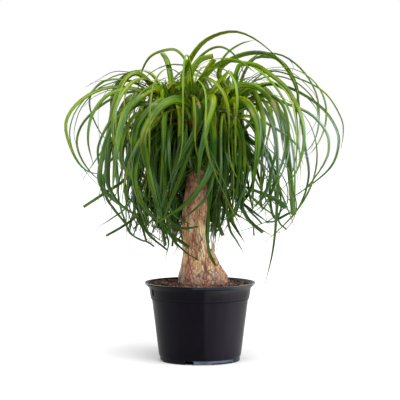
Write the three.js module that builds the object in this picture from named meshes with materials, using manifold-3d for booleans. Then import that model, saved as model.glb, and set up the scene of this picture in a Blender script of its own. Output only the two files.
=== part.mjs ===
// Ponytail palm in a nursery pot: pot, potting mix, trunk and five heads of leaves.
// Millimetres, +Z up. The origin is under the middle of the pot, and -Y is the front.

import * as THREE from "three";
import { mergeVertices } from "three/addons/utils/BufferGeometryUtils.js";
import Module from "manifold-3d";

const wasm = await Module();
wasm.setup();

// Clearance between neighbouring pieces
const GAP = 0.35;

// Pot: a thin moulded shell with a flared lip, a collar, a tapering body and a low foot ring
const POT_SIDES = 32;
const POT_HEIGHT = 150;
const POT_WALL = 1.6;
const EDGE_EASE = 0.6;
const LIP_RADIUS = 105.5;
const LIP_FOOT = 147;
const COLLAR_TOP_RADIUS = 97;
const COLLAR_TOP = 139;
const COLLAR_FOOT_RADIUS = 94.3;
const COLLAR_FOOT = 120;
const BODY_TOP_RADIUS = 92;
const BODY_TOP = 118;
const BODY_FOOT_RADIUS = 78.5;
const BODY_FOOT = 12;
const FOOT_RADIUS = 76;
const FOOT_WIDTH = 5;
const FOOT_EASE = 1;
const FLOOR_UNDERSIDE = 7;
const FLOOR_TOP = 9;
const DRAIN_LENGTH = 16;
const DRAIN_WIDTH = 9;
const BOSS_RADIUS = 15;
const BOSS_SIDES = 24;
const RIB_WIDTH = 3;

// Gaps in the foot ring, a narrow tall one and a wide low one, each with a drain slot inside it
// and a rib behind the foot beside it, repeated evenly round the pot
const FOOT_GAPS = [
  { deg: -105, width: 16, height: 7, ribDeg: -85 },
  { deg: -56, width: 48, height: 3.2, ribDeg: -14 },
];
const FOOT_REPEATS = 3;
const FOOT_GAP_REACH = 6 * FOOT_WIDTH;

// Thumb recesses in the collar, one at each side
const GRIP_DEGS = [-158, -4];
const GRIP_WIDTH = 15;
const GRIP_HEIGHT = 22;
const GRIP_DEPTH = 4;
const GRIP_Z = 131;
const GRIP_SIDES = 10;
const GRIP_RINGS = 6;

// Potting mix, mounded a little round the trunk: the surface falls by a share of its whole
// fall at each radius
const SOIL_CROWN = 146.5;
const SOIL_EDGE = 139.5;
const SOIL_FALL = [
  { radius: 0, share: 0 },
  { radius: 60, share: 0 },
  { radius: 74, share: 0.2 },
  { radius: 86, share: 0.55 },
];
const SOIL_RELIEF = 1.1;
const SOIL_WAVES = { fine: 7, coarse: 4, pitch: 3 };

// Trunk: height, middle of the section and half width, from the buried crown up to the fork
const TRUNK_SIDES = 20;
const TRUNK_SECTIONS = [
  { z: 82, x: 3, radius: 20 },
  { z: 100, x: 5, radius: 35 },
  { z: 122, x: 6, radius: 46 },
  { z: 146, x: 6, radius: 49 },
  { z: 152, x: 5.5, radius: 47.5 },
  { z: 160, x: 5, radius: 45 },
  { z: 170, x: 2.5, radius: 41 },
  { z: 180, x: 0, radius: 36.5 },
  { z: 200, x: -3, radius: 30.5 },
  { z: 215, x: -4.5, radius: 28.5 },
  { z: 231, x: -5.5, radius: 27 },
  { z: 257, x: -8, radius: 26 },
  { z: 280, x: -8.5, radius: 25 },
  { z: 304, x: -8.5, radius: 23.5 },
  { z: 329, x: -6.5, radius: 20.5 },
  { z: 350, x: -5, radius: 19 },
  { z: 372, x: -4, radius: 20 },
  { z: 390, x: -3, radius: 17 },
];

// Bark: shares of the trunk's radius by which its furrows and its root lobes stand out. The
// lobes fade within so many millimetres above the soil, and both start over a short height.
const BARK_STARTS = 152;
const BARK_START_HEIGHT = 10;
const BARK_RELIEF = 0.045;
const FURROWS = [
  { count: 5, pitch: 40, phase: 0, share: 1 },
  { count: 8, pitch: -55, phase: 1, share: 0.7 },
];
const ROOT_FLARE = 0.05;
const ROOT_LOBES = 6;
const ROOT_HEIGHT = 22;
const BRANCH_RADIUS = 11;
const BRANCH_START = new THREE.Vector3(-4, 0, 368);

// A loose strip of bark that stands off the right side of the trunk
const SLIVER = { foot: [25, -6, 196], tip: [21, -9, 236], radii: [4, 2, 0.4] };

// Heads: where each branch leaves the fork, its tip, how many leaves it bears and its seed
const HEADS = [
  { name: "head_left", fork: [-14, -2, 398], tip: [-74, -14, 508], leaves: 112, seed: 11 },
  { name: "head_front", fork: [-6, -12, 400], tip: [-12, -48, 502], leaves: 66, seed: 23 },
  { name: "head_right", fork: [10, -2, 398], tip: [68, -16, 504], leaves: 68, seed: 37 },
  { name: "head_back_left", fork: [-8, 10, 400], tip: [-40, 56, 508], leaves: 78, seed: 41 },
  { name: "head_back_right", fork: [6, 12, 400], tip: [40, 62, 504], leaves: 60, seed: 59 },
];
const HEAD_STARTS = 0.32;
const STEM_SIDES = 7;
const STEM_RADII = [11, 15, 16, 13, 5];

// Blades: how many sections a solid blade has and how deep its keel is, how far off the
// stem's axis it is rooted, how much wider it is where it clasps the stem and over what share
// of its length, how it tapers, and at what share of its length a cut leaf ends
const BLADE_STEPS = 6;
const LONG_BLADE_STEPS = 7;
const KEEL_SHARE = 0.13;
const KEEL_LEAST = 0.8;
const ROOT_OUT = 7;
const CLASP = 0.3;
const CLASP_SHARE = 0.1;
const FULLNESS = 3.4;
const TAPER = 0.9;
const TIP_WIDTH = 0.8;
const CUT_AT = 0.65;

// From which section on a blade keeps clear of its own head too
const CLEAR_FROM = 3;

// Rule of the leaves. A pair is a value for the youngest and the oldest leaf, for the
// stiffest and the softest, or the least and the most. A spread goes both ways.
const LEAF_RULE = {
  turnDeg: 137.508,
  turnSpreadDeg: 20,
  retryTurnDeg: 34,
  pitchDeg: [88, -25],
  pitchPower: 0.9,
  pitchSpreadDeg: 16,
  lean: 0.35,
  rootShare: [1, 0.38],
  length: [330, 460],
  fullLengthAge: 0.2,
  oldLengthShare: 0.78,
  lengthSpread: [0.7, 1.2],
  bend: [2.3, 0.85],
  endPitchDeg: [-64, -175],
  endPitchPower: 0.9,
  endPitchSpreadDeg: 22,
  driftDeg: 115,
  swayDeg: 22,
  swayRate: 6,
  width: [3.6, 15],
  widthPower: 2.5,
  twistDeg: 170,
  twistPower: 1.4,
  cutShare: 0.28,
  ways: [[1, 1], [0.97, 1.8], [0.9, 2.8], [0.75, 3], [0.6, 2.4]],
  tries: 6,
};

// Of each run of leaves some are left out, but none that reaches the outside of the crown
const LEAF_RUN = 5;
const LEAVES_OF_RUN = 2;
const OUTER_REACH = 1;

// The leaves of the rule keep to a round crown and out of the bare zones: before the trunk, and
// over the left shoulder. Only one in so many of them leaves the core of the crown, or passes
// through a zone that is thin: before the middle of the crown, over it, and low on the right.
const CROWN = { x: 262, y: 250, z: 205, middle: 418, slack: 1.05 };
const BARE_ZONES = [
  { x: [-34, 24], y: [-300, 0], z: [0, 350] },
  { x: [-300, -135], y: [-300, 300], z: [542, 700] },
];
const THIN_ZONES = [
  { x: [-115, 115], y: [-300, -60], z: [230, 490] },
  { x: [-130, 130], y: [-300, 10], z: [520, 650] },
  { x: [45, 300], y: [-300, 300], z: [180, 335] },
  { x: [75, 300], y: [-300, 300], z: [335, 430] },
];
const CORE = { x: 14, spread: 0.62 };
const FAR_ONE_IN = 3;

// Leaves set by hand. Each route is measured on the upright plane through the pot's
// middle, as seen from EYE, and its points then move along their sight lines to depth.
// grows is the place on the head's stem, and turn how far the face is turned from the eye.
const EYE = new THREE.Vector3(0, -4000, 550);
const SET_LEAVES = [
  {
    // the tall arch over the top
    head: "head_front", grows: 0.9, width: 12, depth: [0, -30], turn: [0, 110],
    route: [[-32, 527], [-21, 568], [13, 610], [70, 625], [129, 593], [179, 530], [194, 430]],
  },
  {
    // the broad arch under it
    head: "head_right", grows: 0.9, width: 12, depth: [0, -40], turn: [30, 60],
    route: [[36, 546], [61, 574], [104, 586], [144, 576], [173, 540], [188, 489], [190, 401]],
  },
  {
    // the outermost loop on the left
    head: "head_left", grows: 0.7, width: 8, depth: [-10, -30], turn: [40, 20],
    route: [[-95, 511], [-169, 521], [-226, 496], [-255, 453], [-243, 399], [-217, 363], [-179, 354]],
  },
  {
    // the small arch at the upper left
    head: "head_front", grows: 0.95, width: 7, depth: [10, 30], turn: [50, 20],
    route: [[-23, 561], [-42, 589], [-66, 591], [-95, 578], [-112, 546], [-120, 500]],
  },
  {
    // the upright cut leaf at the upper left
    head: "head_left", grows: 0.95, width: 12, depth: [0, 30], turn: [20, 30], cut: true,
    route: [[-55, 519], [-57, 549], [-63, 572], [-72, 586]],
  },
  {
    // the wide leaf at the left front
    head: "head_front", grows: 0.75, width: 18, depth: [-70, -185], turn: [35, 5],
    route: [[-27, 494], [-49, 498], [-76, 483], [-101, 447], [-108, 411], [-95, 350], [-74, 274]],
  },
  {
    // the wide leaf behind it, further left
    head: "head_left", grows: 0.6, width: 16, depth: [-50, -150], turn: [35, 5],
    route: [[-80, 519], [-110, 506], [-139, 477], [-154, 430], [-162, 373], [-167, 316]],
  },
  {
    // the leaf folded over in the middle, with its pale underside at the fold
    head: "head_front", grows: 0.6, width: 15, depth: [-80, -160], turn: [10, 5],
    route: [[15, 494], [23, 504], [25, 487], [15, 456], [8, 426], [0, 386], [-4, 325]],
  },
  {
    // the wide leaf that crosses the trunk
    head: "head_right", grows: 0.4, width: 16, depth: [-70, -125], turn: [30, 5],
    route: [[23, 462], [25, 420], [21, 378], [6, 340], [-28, 298], [-91, 257]],
  },
  {
    // the wide leaf at the right front
    head: "head_right", grows: 0.7, width: 18, depth: [-60, -170], turn: [35, 5],
    route: [[59, 489], [78, 496], [95, 483], [108, 454], [110, 420], [106, 373], [97, 306]],
  },
  {
    // the high thin loop on the right
    head: "head_right", grows: 0.9, width: 4.5, depth: [-20, -20], turn: [50, 20],
    route: [[95, 567], [144, 584], [190, 557], [220, 510], [226, 456], [215, 415], [186, 382]],
  },
  {
    // the outermost loop on the right
    head: "head_right", grows: 0.8, width: 4, depth: [0, 20], turn: [50, 20],
    route: [[125, 549], [190, 536], [239, 508], [268, 462], [272, 432], [268, 405]],
  },
  {
    // the loop inside it
    head: "head_right", grows: 0.7, width: 6.5, depth: [-20, -20], turn: [40, 20],
    route: [
      [118, 523], [171, 519], [230, 483], [260, 439],
      [262, 403], [247, 367], [205, 331], [150, 295],
    ],
  },
  {
    // the innermost loop on the right
    head: "head_right", grows: 0.6, width: 6.5, depth: [-40, -60], turn: [40, 20],
    route: [
      [118, 504], [165, 489], [209, 470], [238, 439],
      [245, 411], [239, 382], [213, 342], [182, 312],
    ],
  },
  {
    // the longest leaf, whose thin tip hangs to the height of the rim
    head: "head_right", grows: 0.7, width: 9, depth: [-30, -50], turn: [40, 20],
    route: [[95, 511], [125, 489], [142, 439], [148, 363], [146, 287], [139, 211], [124, 145]],
  },
  {
    // the thin loop on the left
    head: "head_left", grows: 0.8, width: 5, depth: [-10, 10], turn: [40, 20],
    route: [[-127, 530], [-177, 534], [-205, 511], [-209, 481], [-192, 439], [-167, 409]],
  },
  {
    // three tips that stick out at the lower left
    head: "head_left", grows: 0.3, width: 7, depth: [-20, -20], turn: [40, 20], cut: true,
    route: [[-99, 462], [-108, 401], [-141, 348], [-184, 318], [-222, 293]],
  },
  {
    head: "head_left", grows: 0.3, width: 5, depth: [-30, -20], turn: [40, 20],
    route: [[-95, 439], [-110, 354], [-139, 295], [-167, 272], [-196, 253]],
  },
  {
    head: "head_left", grows: 0.2, width: 6, depth: [-40, -30], turn: [40, 20], cut: true,
    route: [[-80, 420], [-95, 325], [-118, 280], [-146, 257], [-179, 238]],
  },
  {
    // two tips below the crown at the right of the trunk
    head: "head_right", grows: 0.2, width: 6, depth: [-60, -60], turn: [30, 10],
    route: [[46, 420], [49, 325], [55, 257], [70, 228], [84, 204]],
  },
  {
    head: "head_right", grows: 0.2, width: 8, depth: [-20, -20], turn: [30, 10], cut: true,
    route: [[65, 420], [72, 325], [89, 274], [120, 244]],
  },
  {
    // the cut tip at the lower right
    head: "head_right", grows: 0.8, width: 7, depth: [20, 30], turn: [40, 20],
    route: [
      [118, 527], [160, 517], [184, 489], [194, 449], [200, 405],
      [207, 361], [201, 323], [188, 293], [173, 268],
    ],
  },
  {
    // the short cut leaf above the middle
    head: "head_front", grows: 0.9, width: 13, depth: [0, -10], turn: [20, 10], cut: true,
    route: [[-2, 515], [6, 538], [27, 574]],
  },
  {
    // two thin leaves that hang down along the trunk
    head: "head_front", grows: 0.2, width: 6, depth: [-60, -70], turn: [20, 10],
    route: [[23, 401], [21, 325], [13, 259], [15, 217], [30, 185]],
  },
  {
    head: "head_left", grows: 0.2, width: 6, depth: [-70, -80], turn: [20, 10],
    route: [[-61, 420], [-68, 325], [-57, 245], [-30, 209], [4, 188]],
  },
  {
    // the grey-green leaf left of the fold
    head: "head_front", grows: 0.5, width: 13, depth: [-60, -120], turn: [20, 10],
    route: [[-19, 500], [-6, 491], [-4, 462], [-13, 430], [-30, 401], [-46, 373], [-57, 344]],
  },
  {
    // the short leaf under it
    head: "head_front", grows: 0.2, width: 12, depth: [-50, -100], turn: [30, 15],
    route: [[-27, 443], [-30, 420], [-34, 388], [-51, 352], [-57, 316]],
  },
  {
    // the narrower leaf inside the wide one on the right
    head: "head_right", grows: 0.4, width: 11, depth: [-60, -110], turn: [30, 20],
    route: [[34, 473], [53, 475], [72, 451], [82, 415], [85, 373], [82, 335]],
  },
  {
    // the leaf outside it
    head: "head_right", grows: 0.8, width: 12, depth: [-60, -120], turn: [20, 10],
    route: [[95, 515], [108, 500], [120, 462], [120, 420], [110, 373]],
  },
  {
    // the leaf between the two wide ones on the left
    head: "head_left", grows: 0.5, width: 13, depth: [-60, -120], turn: [30, 10],
    route: [[-70, 496], [-95, 481], [-120, 449], [-127, 401], [-123, 344], [-112, 297]],
  },
  {
    // the cut leaf that stands up beside the foot of the tallest arch
    head: "head_front", grows: 0.9, width: 13, depth: [-30, -20], turn: [20, 30], cut: true,
    route: [[-21, 530], [-13, 556], [2, 573], [25, 580]],
  },
  {
    // the dark leaf that leans to the right of it
    head: "head_front", grows: 0.8, width: 11, depth: [-40, -40], turn: [10, 20],
    route: [[11, 498], [34, 529], [57, 555]],
  },
  {
    // the thin arch under the tallest one
    head: "head_front", grows: 0.95, width: 6, depth: [-10, -30], turn: [20, 60],
    route: [[-19, 549], [8, 585], [38, 597], [65, 582], [80, 555], [87, 515]],
  },
  {
    // the thin leaf that ends at the tallest arch
    head: "head_right", grows: 0.95, width: 6, depth: [0, 0], turn: [40, 30],
    route: [[36, 549], [49, 582], [76, 602], [103, 610]],
  },
  {
    // the leaf that arches to the right over the middle
    head: "head_front", grows: 0.95, width: 12, depth: [-30, -80], turn: [30, 40],
    route: [[0, 512], [13, 544], [42, 568], [76, 568], [104, 549]],
  },
  {
    // the broad arch at the right shoulder
    head: "head_right", grows: 0.8, width: 12, depth: [-60, -110], turn: [30, 15],
    route: [[47, 512], [76, 525], [110, 519], [137, 492], [152, 449], [158, 401]],
  },
  {
    // the arch at the left shoulder
    head: "head_left", grows: 0.8, width: 9, depth: [-40, -60], turn: [40, 20],
    route: [[-95, 506], [-133, 519], [-175, 506], [-205, 468], [-213, 420], [-203, 373]],
  },
  {
    // the arch below it
    head: "head_left", grows: 0.5, width: 11, depth: [-60, -90], turn: [35, 15],
    route: [[-85, 487], [-123, 487], [-162, 454], [-184, 401], [-190, 344], [-179, 297]],
  },
  {
    // the second loop on the left
    head: "head_left", grows: 0.8, width: 6, depth: [10, 0], turn: [40, 20],
    route: [
      [-99, 511], [-142, 510], [-184, 489], [-220, 456],
      [-234, 422], [-228, 390], [-207, 358], [-175, 331],
    ],
  },
  {
    // a thin loop beside the outermost on the left
    head: "head_left", grows: 0.9, width: 3.5, depth: [20, 40], turn: [50, 20],
    route: [
      [-112, 542], [-156, 544], [-196, 521], [-230, 485], [-245, 453],
      [-247, 422], [-236, 388], [-209, 350], [-177, 321],
    ],
  },
  {
    // the dark leaf that follows the crown's outline down the left
    head: "head_left", grows: 0.85, width: 11, depth: [-10, -70], turn: [30, 10],
    route: [
      [-108, 542], [-133, 544], [-156, 511], [-173, 439], [-177, 382],
      [-177, 344], [-167, 318], [-150, 297], [-116, 274],
    ],
  },
  {
    // a leaf outside it
    head: "head_left", grows: 0.5, width: 6.5, depth: [-30, -60], turn: [40, 20],
    route: [
      [-95, 485], [-127, 487], [-160, 470], [-182, 437],
      [-194, 405], [-192, 375], [-184, 344], [-179, 306],
    ],
  },
  {
    // a leaf that swings out and in again at the left
    head: "head_left", grows: 0.4, width: 7.5, depth: [-60, -110], turn: [30, 10],
    route: [[-99, 477], [-116, 430], [-133, 399], [-141, 377], [-137, 344], [-141, 314], [-139, 289]],
  },
  {
    // a thin wavy leaf along the crown's lower left edge
    head: "head_left", grows: 0.2, width: 5, depth: [-20, 10], turn: [30, 30],
    route: [
      [-95, 449], [-137, 420], [-175, 373], [-182, 329], [-169, 295],
      [-144, 263], [-129, 240], [-110, 230], [-87, 217],
    ],
  },
  {
    // a thin leaf beside it, nearer the trunk
    head: "head_left", grows: 0.2, width: 5, depth: [-60, -50], turn: [30, 20],
    route: [[-91, 430], [-114, 373], [-127, 316], [-118, 266], [-89, 234], [-65, 213]],
  },
  {
    // a leaf that crosses the left half slantwise
    head: "head_left", grows: 0.3, width: 7, depth: [-70, -120], turn: [20, 10],
    route: [[-114, 473], [-144, 430], [-150, 382], [-131, 350], [-116, 325], [-110, 301], [-101, 261]],
  },
  {
    // a leaf that ends left of the trunk
    head: "head_left", grows: 0.2, width: 7, depth: [-50, -70], turn: [20, 10],
    route: [[-80, 432], [-91, 399], [-93, 369], [-84, 335], [-74, 297], [-70, 249], [-66, 211]],
  },
  {
    // the bright leaf over the right shoulder
    head: "head_right", grows: 0.9, width: 9.5, depth: [-50, -90], turn: [30, 15],
    route: [
      [72, 559], [103, 563], [129, 548], [160, 523], [180, 494],
      [194, 458], [198, 424], [194, 394], [182, 358], [152, 323],
    ],
  },
  {
    // the leaf behind it
    head: "head_right", grows: 0.85, width: 7, depth: [20, 40], turn: [40, 20],
    route: [
      [95, 568], [129, 578], [156, 568], [177, 538], [186, 506],
      [182, 473], [186, 424], [180, 375], [169, 340],
    ],
  },
  {
    // a leaf inside it
    head: "head_right", grows: 0.6, width: 7, depth: [-60, -110], turn: [30, 10],
    route: [
      [106, 504], [137, 504], [158, 485], [167, 449],
      [167, 416], [156, 375], [144, 348], [129, 320],
    ],
  },
  {
    // a leaf that crosses the right half slantwise
    head: "head_right", grows: 0.4, width: 6.5, depth: [-80, -40], turn: [30, 20],
    route: [[87, 466], [110, 460], [133, 449], [162, 430], [186, 407], [196, 373]],
  },
  {
    // a dark leaf low on the right
    head: "head_right", grows: 0.5, width: 6.5, depth: [-70, -100], turn: [30, 10],
    route: [[106, 489], [133, 458], [144, 411], [137, 367], [122, 318], [103, 295]],
  },
  {
    // another behind it
    head: "head_right", grows: 0.5, width: 7.5, depth: [-30, -60], turn: [20, 20],
    route: [[87, 481], [110, 449], [118, 401], [116, 344], [118, 299]],
  },
  {
    // a thin dark leaf that curls in at the lower right
    head: "head_right", grows: 0.6, width: 4.5, depth: [-60, -70], turn: [30, 20],
    route: [[118, 496], [156, 462], [169, 411], [160, 367], [141, 329], [127, 299], [106, 276]],
  },
  {
    // a leaf right of the trunk
    head: "head_right", grows: 0.3, width: 8, depth: [-60, -80], turn: [20, 10],
    route: [[57, 473], [72, 430], [76, 382], [70, 329], [66, 283]],
  },
];

// Ways to bend a leaf clear of its neighbours: degrees of azimuth and pitch for a leaf of
// the rule, and millimetres of depth for one set by hand
const BENDS = [[0, 0], [5, 0], [-5, 0], [0, 5], [0, -5], [10, 3], [-10, 3], [14, -6], [-14, -6]];
const DEPTH_BENDS = [0, -5, 5, -10, 10, -16, 16, -24, 24];

// Corners closer than this are one corner, and a length below the second is none
const MERGE_WITHIN = 1e-3;
const NO_LENGTH = 1e-6;

const DEG = Math.PI / 180;
const UP = new THREE.Vector3(0, 0, 1);

const MATERIALS = {
  pot: new THREE.MeshStandardMaterial({ color: 0x242427, roughness: 0.42, metalness: 0 }),
  soil: new THREE.MeshStandardMaterial({ color: 0x3a2a22, roughness: 0.95, metalness: 0 }),
  bark: new THREE.MeshStandardMaterial({ color: 0xa67c5c, roughness: 0.85, metalness: 0 }),
  leaf: new THREE.MeshStandardMaterial({ color: 0x4e7d1e, roughness: 0.45, metalness: 0 }),
};

// Helpers

const mix = THREE.MathUtils.lerp;

function vector(list) {
  return new THREE.Vector3(...list);
}

// The solid that a closed geometry bounds, with its shared corners merged
function solidOf(geometry) {
  geometry.deleteAttribute("normal");
  geometry.deleteAttribute("uv");
  const merged = mergeVertices(geometry, MERGE_WITHIN);
  const index = merged.index.array;
  const triVerts = [];
  for (let i = 0; i < index.length; i += 3) {
    const [a, b, c] = index.subarray(i, i + 3);
    if (a !== b && b !== c && c !== a) triVerts.push(a, b, c);
  }
  return new wasm.Manifold(
    new wasm.Mesh({
      numProp: 3,
      vertProperties: merged.attributes.position.array,
      triVerts: new Uint32Array(triVerts),
    }),
  );
}

// The largest body of a solid: a hollow that joining has sealed is filled, a scrap dropped
function mainBody(solid) {
  return solid.decompose().reduce((best, body) => (body.volume() > best.volume() ? body : best));
}

function meshOf(name, solid, material) {
  const { vertProperties, triVerts } = solid.getMesh();
  const geometry = new THREE.BufferGeometry();
  geometry.setAttribute("position", new THREE.BufferAttribute(vertProperties, 3));
  geometry.setIndex(new THREE.BufferAttribute(triVerts, 1));
  geometry.computeVertexNormals();
  const mesh = new THREE.Mesh(geometry, material);
  mesh.name = name;
  return mesh;
}

// A solid of revolution about Z from [radius, height] points, bottom of the axis first
function turned(profile, sides) {
  const points = profile.map(([radius, height]) => new THREE.Vector2(radius, height));
  return new THREE.LatheGeometry(points, sides).rotateX(Math.PI / 2);
}

// A geometry whose points are all moved by a function of their place
function reshaped(geometry, move) {
  const position = geometry.attributes.position;
  const point = new THREE.Vector3();
  for (let i = 0; i < position.count; i += 1) {
    move(point.fromBufferAttribute(position, i));
    position.setXYZ(i, point.x, point.y, point.z);
  }
  return geometry;
}

function block(size, place, turnDeg) {
  return new THREE.BoxGeometry(...size).translate(...place).rotateZ(turnDeg * DEG);
}

// Pot

function potOutline() {
  return [
    [0, FLOOR_UNDERSIDE],
    [FOOT_RADIUS - FOOT_WIDTH, FLOOR_UNDERSIDE],
    [FOOT_RADIUS - FOOT_WIDTH, 0],
    [FOOT_RADIUS - FOOT_EASE, 0],
    [FOOT_RADIUS, FOOT_EASE],
    [FOOT_RADIUS, FLOOR_TOP + FOOT_EASE],
    [BODY_FOOT_RADIUS, BODY_FOOT],
    [BODY_TOP_RADIUS, BODY_TOP],
    [COLLAR_FOOT_RADIUS, COLLAR_FOOT],
    [COLLAR_TOP_RADIUS, COLLAR_TOP],
    [LIP_RADIUS, LIP_FOOT],
    [LIP_RADIUS, POT_HEIGHT - EDGE_EASE],
    [LIP_RADIUS - EDGE_EASE, POT_HEIGHT],
  ];
}

function potLining(inset) {
  const wall = POT_WALL + inset;
  return [
    [COLLAR_TOP_RADIUS - wall, COLLAR_TOP + EDGE_EASE],
    [COLLAR_FOOT_RADIUS - wall, COLLAR_FOOT + EDGE_EASE],
    [BODY_TOP_RADIUS - wall, BODY_TOP + EDGE_EASE],
    [BODY_FOOT_RADIUS - wall, BODY_FOOT + EDGE_EASE],
    [FOOT_RADIUS - wall - FOOT_EASE, FLOOR_TOP + inset + FOOT_EASE],
    [FOOT_RADIUS - wall - 3 * FOOT_EASE, FLOOR_TOP + inset],
    [0, FLOOR_TOP + inset],
  ];
}

// An ellipsoid at a thumb recess, grown by margin: the recess is cut where it bites the collar
function gripEllipsoid(deg, margin) {
  const middle = COLLAR_TOP_RADIUS + GRIP_WIDTH / 2 - GRIP_DEPTH;
  return new THREE.SphereGeometry(1, GRIP_SIDES, GRIP_RINGS)
    .scale(GRIP_WIDTH / 2 + margin, GRIP_WIDTH / 2 + margin, GRIP_HEIGHT / 2 + margin)
    .translate(middle, 0, GRIP_Z)
    .rotateZ(deg * DEG);
}

function potSolid() {
  const outline = potOutline();
  const lip = [
    [LIP_RADIUS - POT_WALL, POT_HEIGHT],
    [LIP_RADIUS - POT_WALL - EDGE_EASE, LIP_FOOT + EDGE_EASE],
  ];
  const filled = solidOf(turned([...outline, [0, POT_HEIGHT]], POT_SIDES));
  let pot = solidOf(turned([...outline, ...lip, ...potLining(0)], POT_SIDES));
  for (const deg of GRIP_DEGS) {
    const pocket = solidOf(gripEllipsoid(deg, POT_WALL)).intersect(filled);
    pot = pot.add(pocket).subtract(solidOf(gripEllipsoid(deg, 0)));
  }
  const height = (FLOOR_UNDERSIDE + FLOOR_TOP) / 2;
  const boss = new THREE.CylinderGeometry(BOSS_RADIUS, BOSS_RADIUS, height, BOSS_SIDES)
    .rotateX(Math.PI / 2)
    .translate(0, 0, height / 2);
  pot = pot.add(solidOf(boss));
  const ribReach = FOOT_RADIUS - FOOT_WIDTH / 2;
  const ribs = [];
  const cuts = [];
  for (let turn = 0; turn < 360; turn += 360 / FOOT_REPEATS) {
    for (const { deg, width, height: rise, ribDeg } of FOOT_GAPS) {
      ribs.push(block([ribReach, RIB_WIDTH, height], [ribReach / 2, 0, height / 2], turn + ribDeg));
      cuts.push(
        block([FOOT_GAP_REACH, width, rise * 2], [FOOT_RADIUS, 0, 0], turn + deg),
        block(
          [DRAIN_LENGTH, DRAIN_WIDTH, FLOOR_TOP * 2],
          [FOOT_RADIUS - FOOT_WIDTH - DRAIN_LENGTH / 2, 0, FLOOR_TOP],
          turn + deg,
        ),
      );
    }
  }
  for (const rib of ribs) pot = pot.add(solidOf(rib));
  for (const cut of cuts) pot = pot.subtract(solidOf(cut));
  return mainBody(pot);
}

// Trunk

// The trunk's section at a height, between the measured ones
function trunkSection(z) {
  const after = Math.max(1, TRUNK_SECTIONS.findIndex((section) => section.z >= z));
  const [low, high] = TRUNK_SECTIONS.slice(after - 1, after + 1);
  const share = (z - low.z) / (high.z - low.z);
  return { x: mix(low.x, high.x, share), radius: mix(low.radius, high.radius, share) };
}

// Bark: upright furrows all round, and root lobes at the foot, none of it under the soil
function barkScale(angle, z) {
  if (z <= BARK_STARTS) return 1;
  const rise = z - BARK_STARTS;
  let furrows = 0;
  for (const { count, pitch, phase, share } of FURROWS) {
    furrows += share * Math.sin(count * angle + rise / pitch + phase);
  }
  const lobes = Math.exp(-rise / ROOT_HEIGHT) * Math.sin(ROOT_LOBES * angle + 1);
  const fade = Math.min(1, rise / BARK_START_HEIGHT);
  return 1 + fade * (BARK_RELIEF * furrows + ROOT_FLARE * lobes);
}

// The trunk below the fork as one turned solid, its skin moved out by margin
function trunkBody(sections, margin) {
  const heights = sections.map((section) => section.z);
  const rows = heights.length - 1;
  const shape = new THREE.CylinderGeometry(1, 1, rows, TRUNK_SIDES, rows).rotateX(Math.PI / 2);
  return solidOf(
    reshaped(shape, (point) => {
      const z = heights[Math.round(point.z + rows / 2)];
      const section = trunkSection(z);
      const angle = Math.atan2(point.y, point.x);
      const radius = (section.radius + margin) * barkScale(angle, z);
      const out = Math.hypot(point.x, point.y) * radius;
      point.set(section.x + Math.cos(angle) * out, Math.sin(angle) * out, z);
    }),
  );
}

// A point on a head's stem, from 0 where the branch leaves the fork to 1 at its tip
function onStem(head, share) {
  return vector(head.fork).lerp(vector(head.tip), share);
}

// A turned stick along a head's stem, with its radii at even steps from one share to another
function stick(start, end, radii) {
  const length = start.distanceTo(end);
  const profile = radii.map((radius, i) => [radius, (length * i) / (radii.length - 1)]);
  const lean = new THREE.Quaternion().setFromUnitVectors(UP, end.clone().sub(start).normalize());
  const shape = turned([[0, 0], ...profile, [0, length]], STEM_SIDES);
  return solidOf(shape.applyQuaternion(lean).translate(start.x, start.y, start.z));
}

function trunkSolid() {
  let trunk = trunkBody(TRUNK_SECTIONS, 0);
  for (const head of HEADS) {
    const seat = onStem(head, HEAD_STARTS);
    seat.lerp(vector(head.fork), GAP / seat.distanceTo(vector(head.fork)));
    trunk = trunk.add(stick(BRANCH_START, vector(head.fork), [BRANCH_RADIUS, BRANCH_RADIUS]));
    trunk = trunk.add(stick(vector(head.fork), seat, [BRANCH_RADIUS, BRANCH_RADIUS]));
  }
  const sliver = stick(vector(SLIVER.foot), vector(SLIVER.tip), SLIVER.radii);
  return mainBody(trunk.add(sliver));
}

// Soil

function soilSolid() {
  const surface = SOIL_FALL.map(({ radius, share }) => [radius, mix(SOIL_CROWN, SOIL_EDGE, share)]);
  const edge = [COLLAR_TOP_RADIUS - POT_WALL - GAP, SOIL_EDGE];
  const profile = [...potLining(GAP).slice(1).reverse(), edge, ...surface.reverse()];
  const shape = reshaped(turned(profile, POT_SIDES), (point) => {
    const radius = Math.hypot(point.x, point.y);
    if (point.z <= SOIL_EDGE || radius === 0) return;
    const angle = Math.atan2(point.y, point.x);
    const wave = Math.sin(SOIL_WAVES.fine * angle + radius);
    point.z += SOIL_RELIEF * wave * Math.cos(SOIL_WAVES.coarse * angle - radius / SOIL_WAVES.pitch);
  });
  const buried = TRUNK_SECTIONS.filter((section) => section.z <= BARK_STARTS);
  let soil = solidOf(shape).subtract(trunkBody(buried, GAP).translate([0, 0, -GAP]));
  for (const deg of GRIP_DEGS) soil = soil.subtract(solidOf(gripEllipsoid(deg, POT_WALL + GAP)));
  return mainBody(soil);
}

// Leaves

// Even draws between 0 and 1 that come out alike on every run
class Draws {
  constructor(seed) {
    this.state = seed * 7919 + 17;
    for (let i = 0; i < 5; i += 1) this.next();
  }

  next() {
    this.state = (this.state * 16807) % 2147483647;
    return this.state / 2147483647;
  }

  either(spread) {
    return spread * (2 * this.next() - 1);
  }
}

function heading(azimuth, pitch) {
  const flat = Math.cos(pitch);
  return new THREE.Vector3(flat * Math.cos(azimuth), flat * Math.sin(azimuth), Math.sin(pitch));
}

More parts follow.
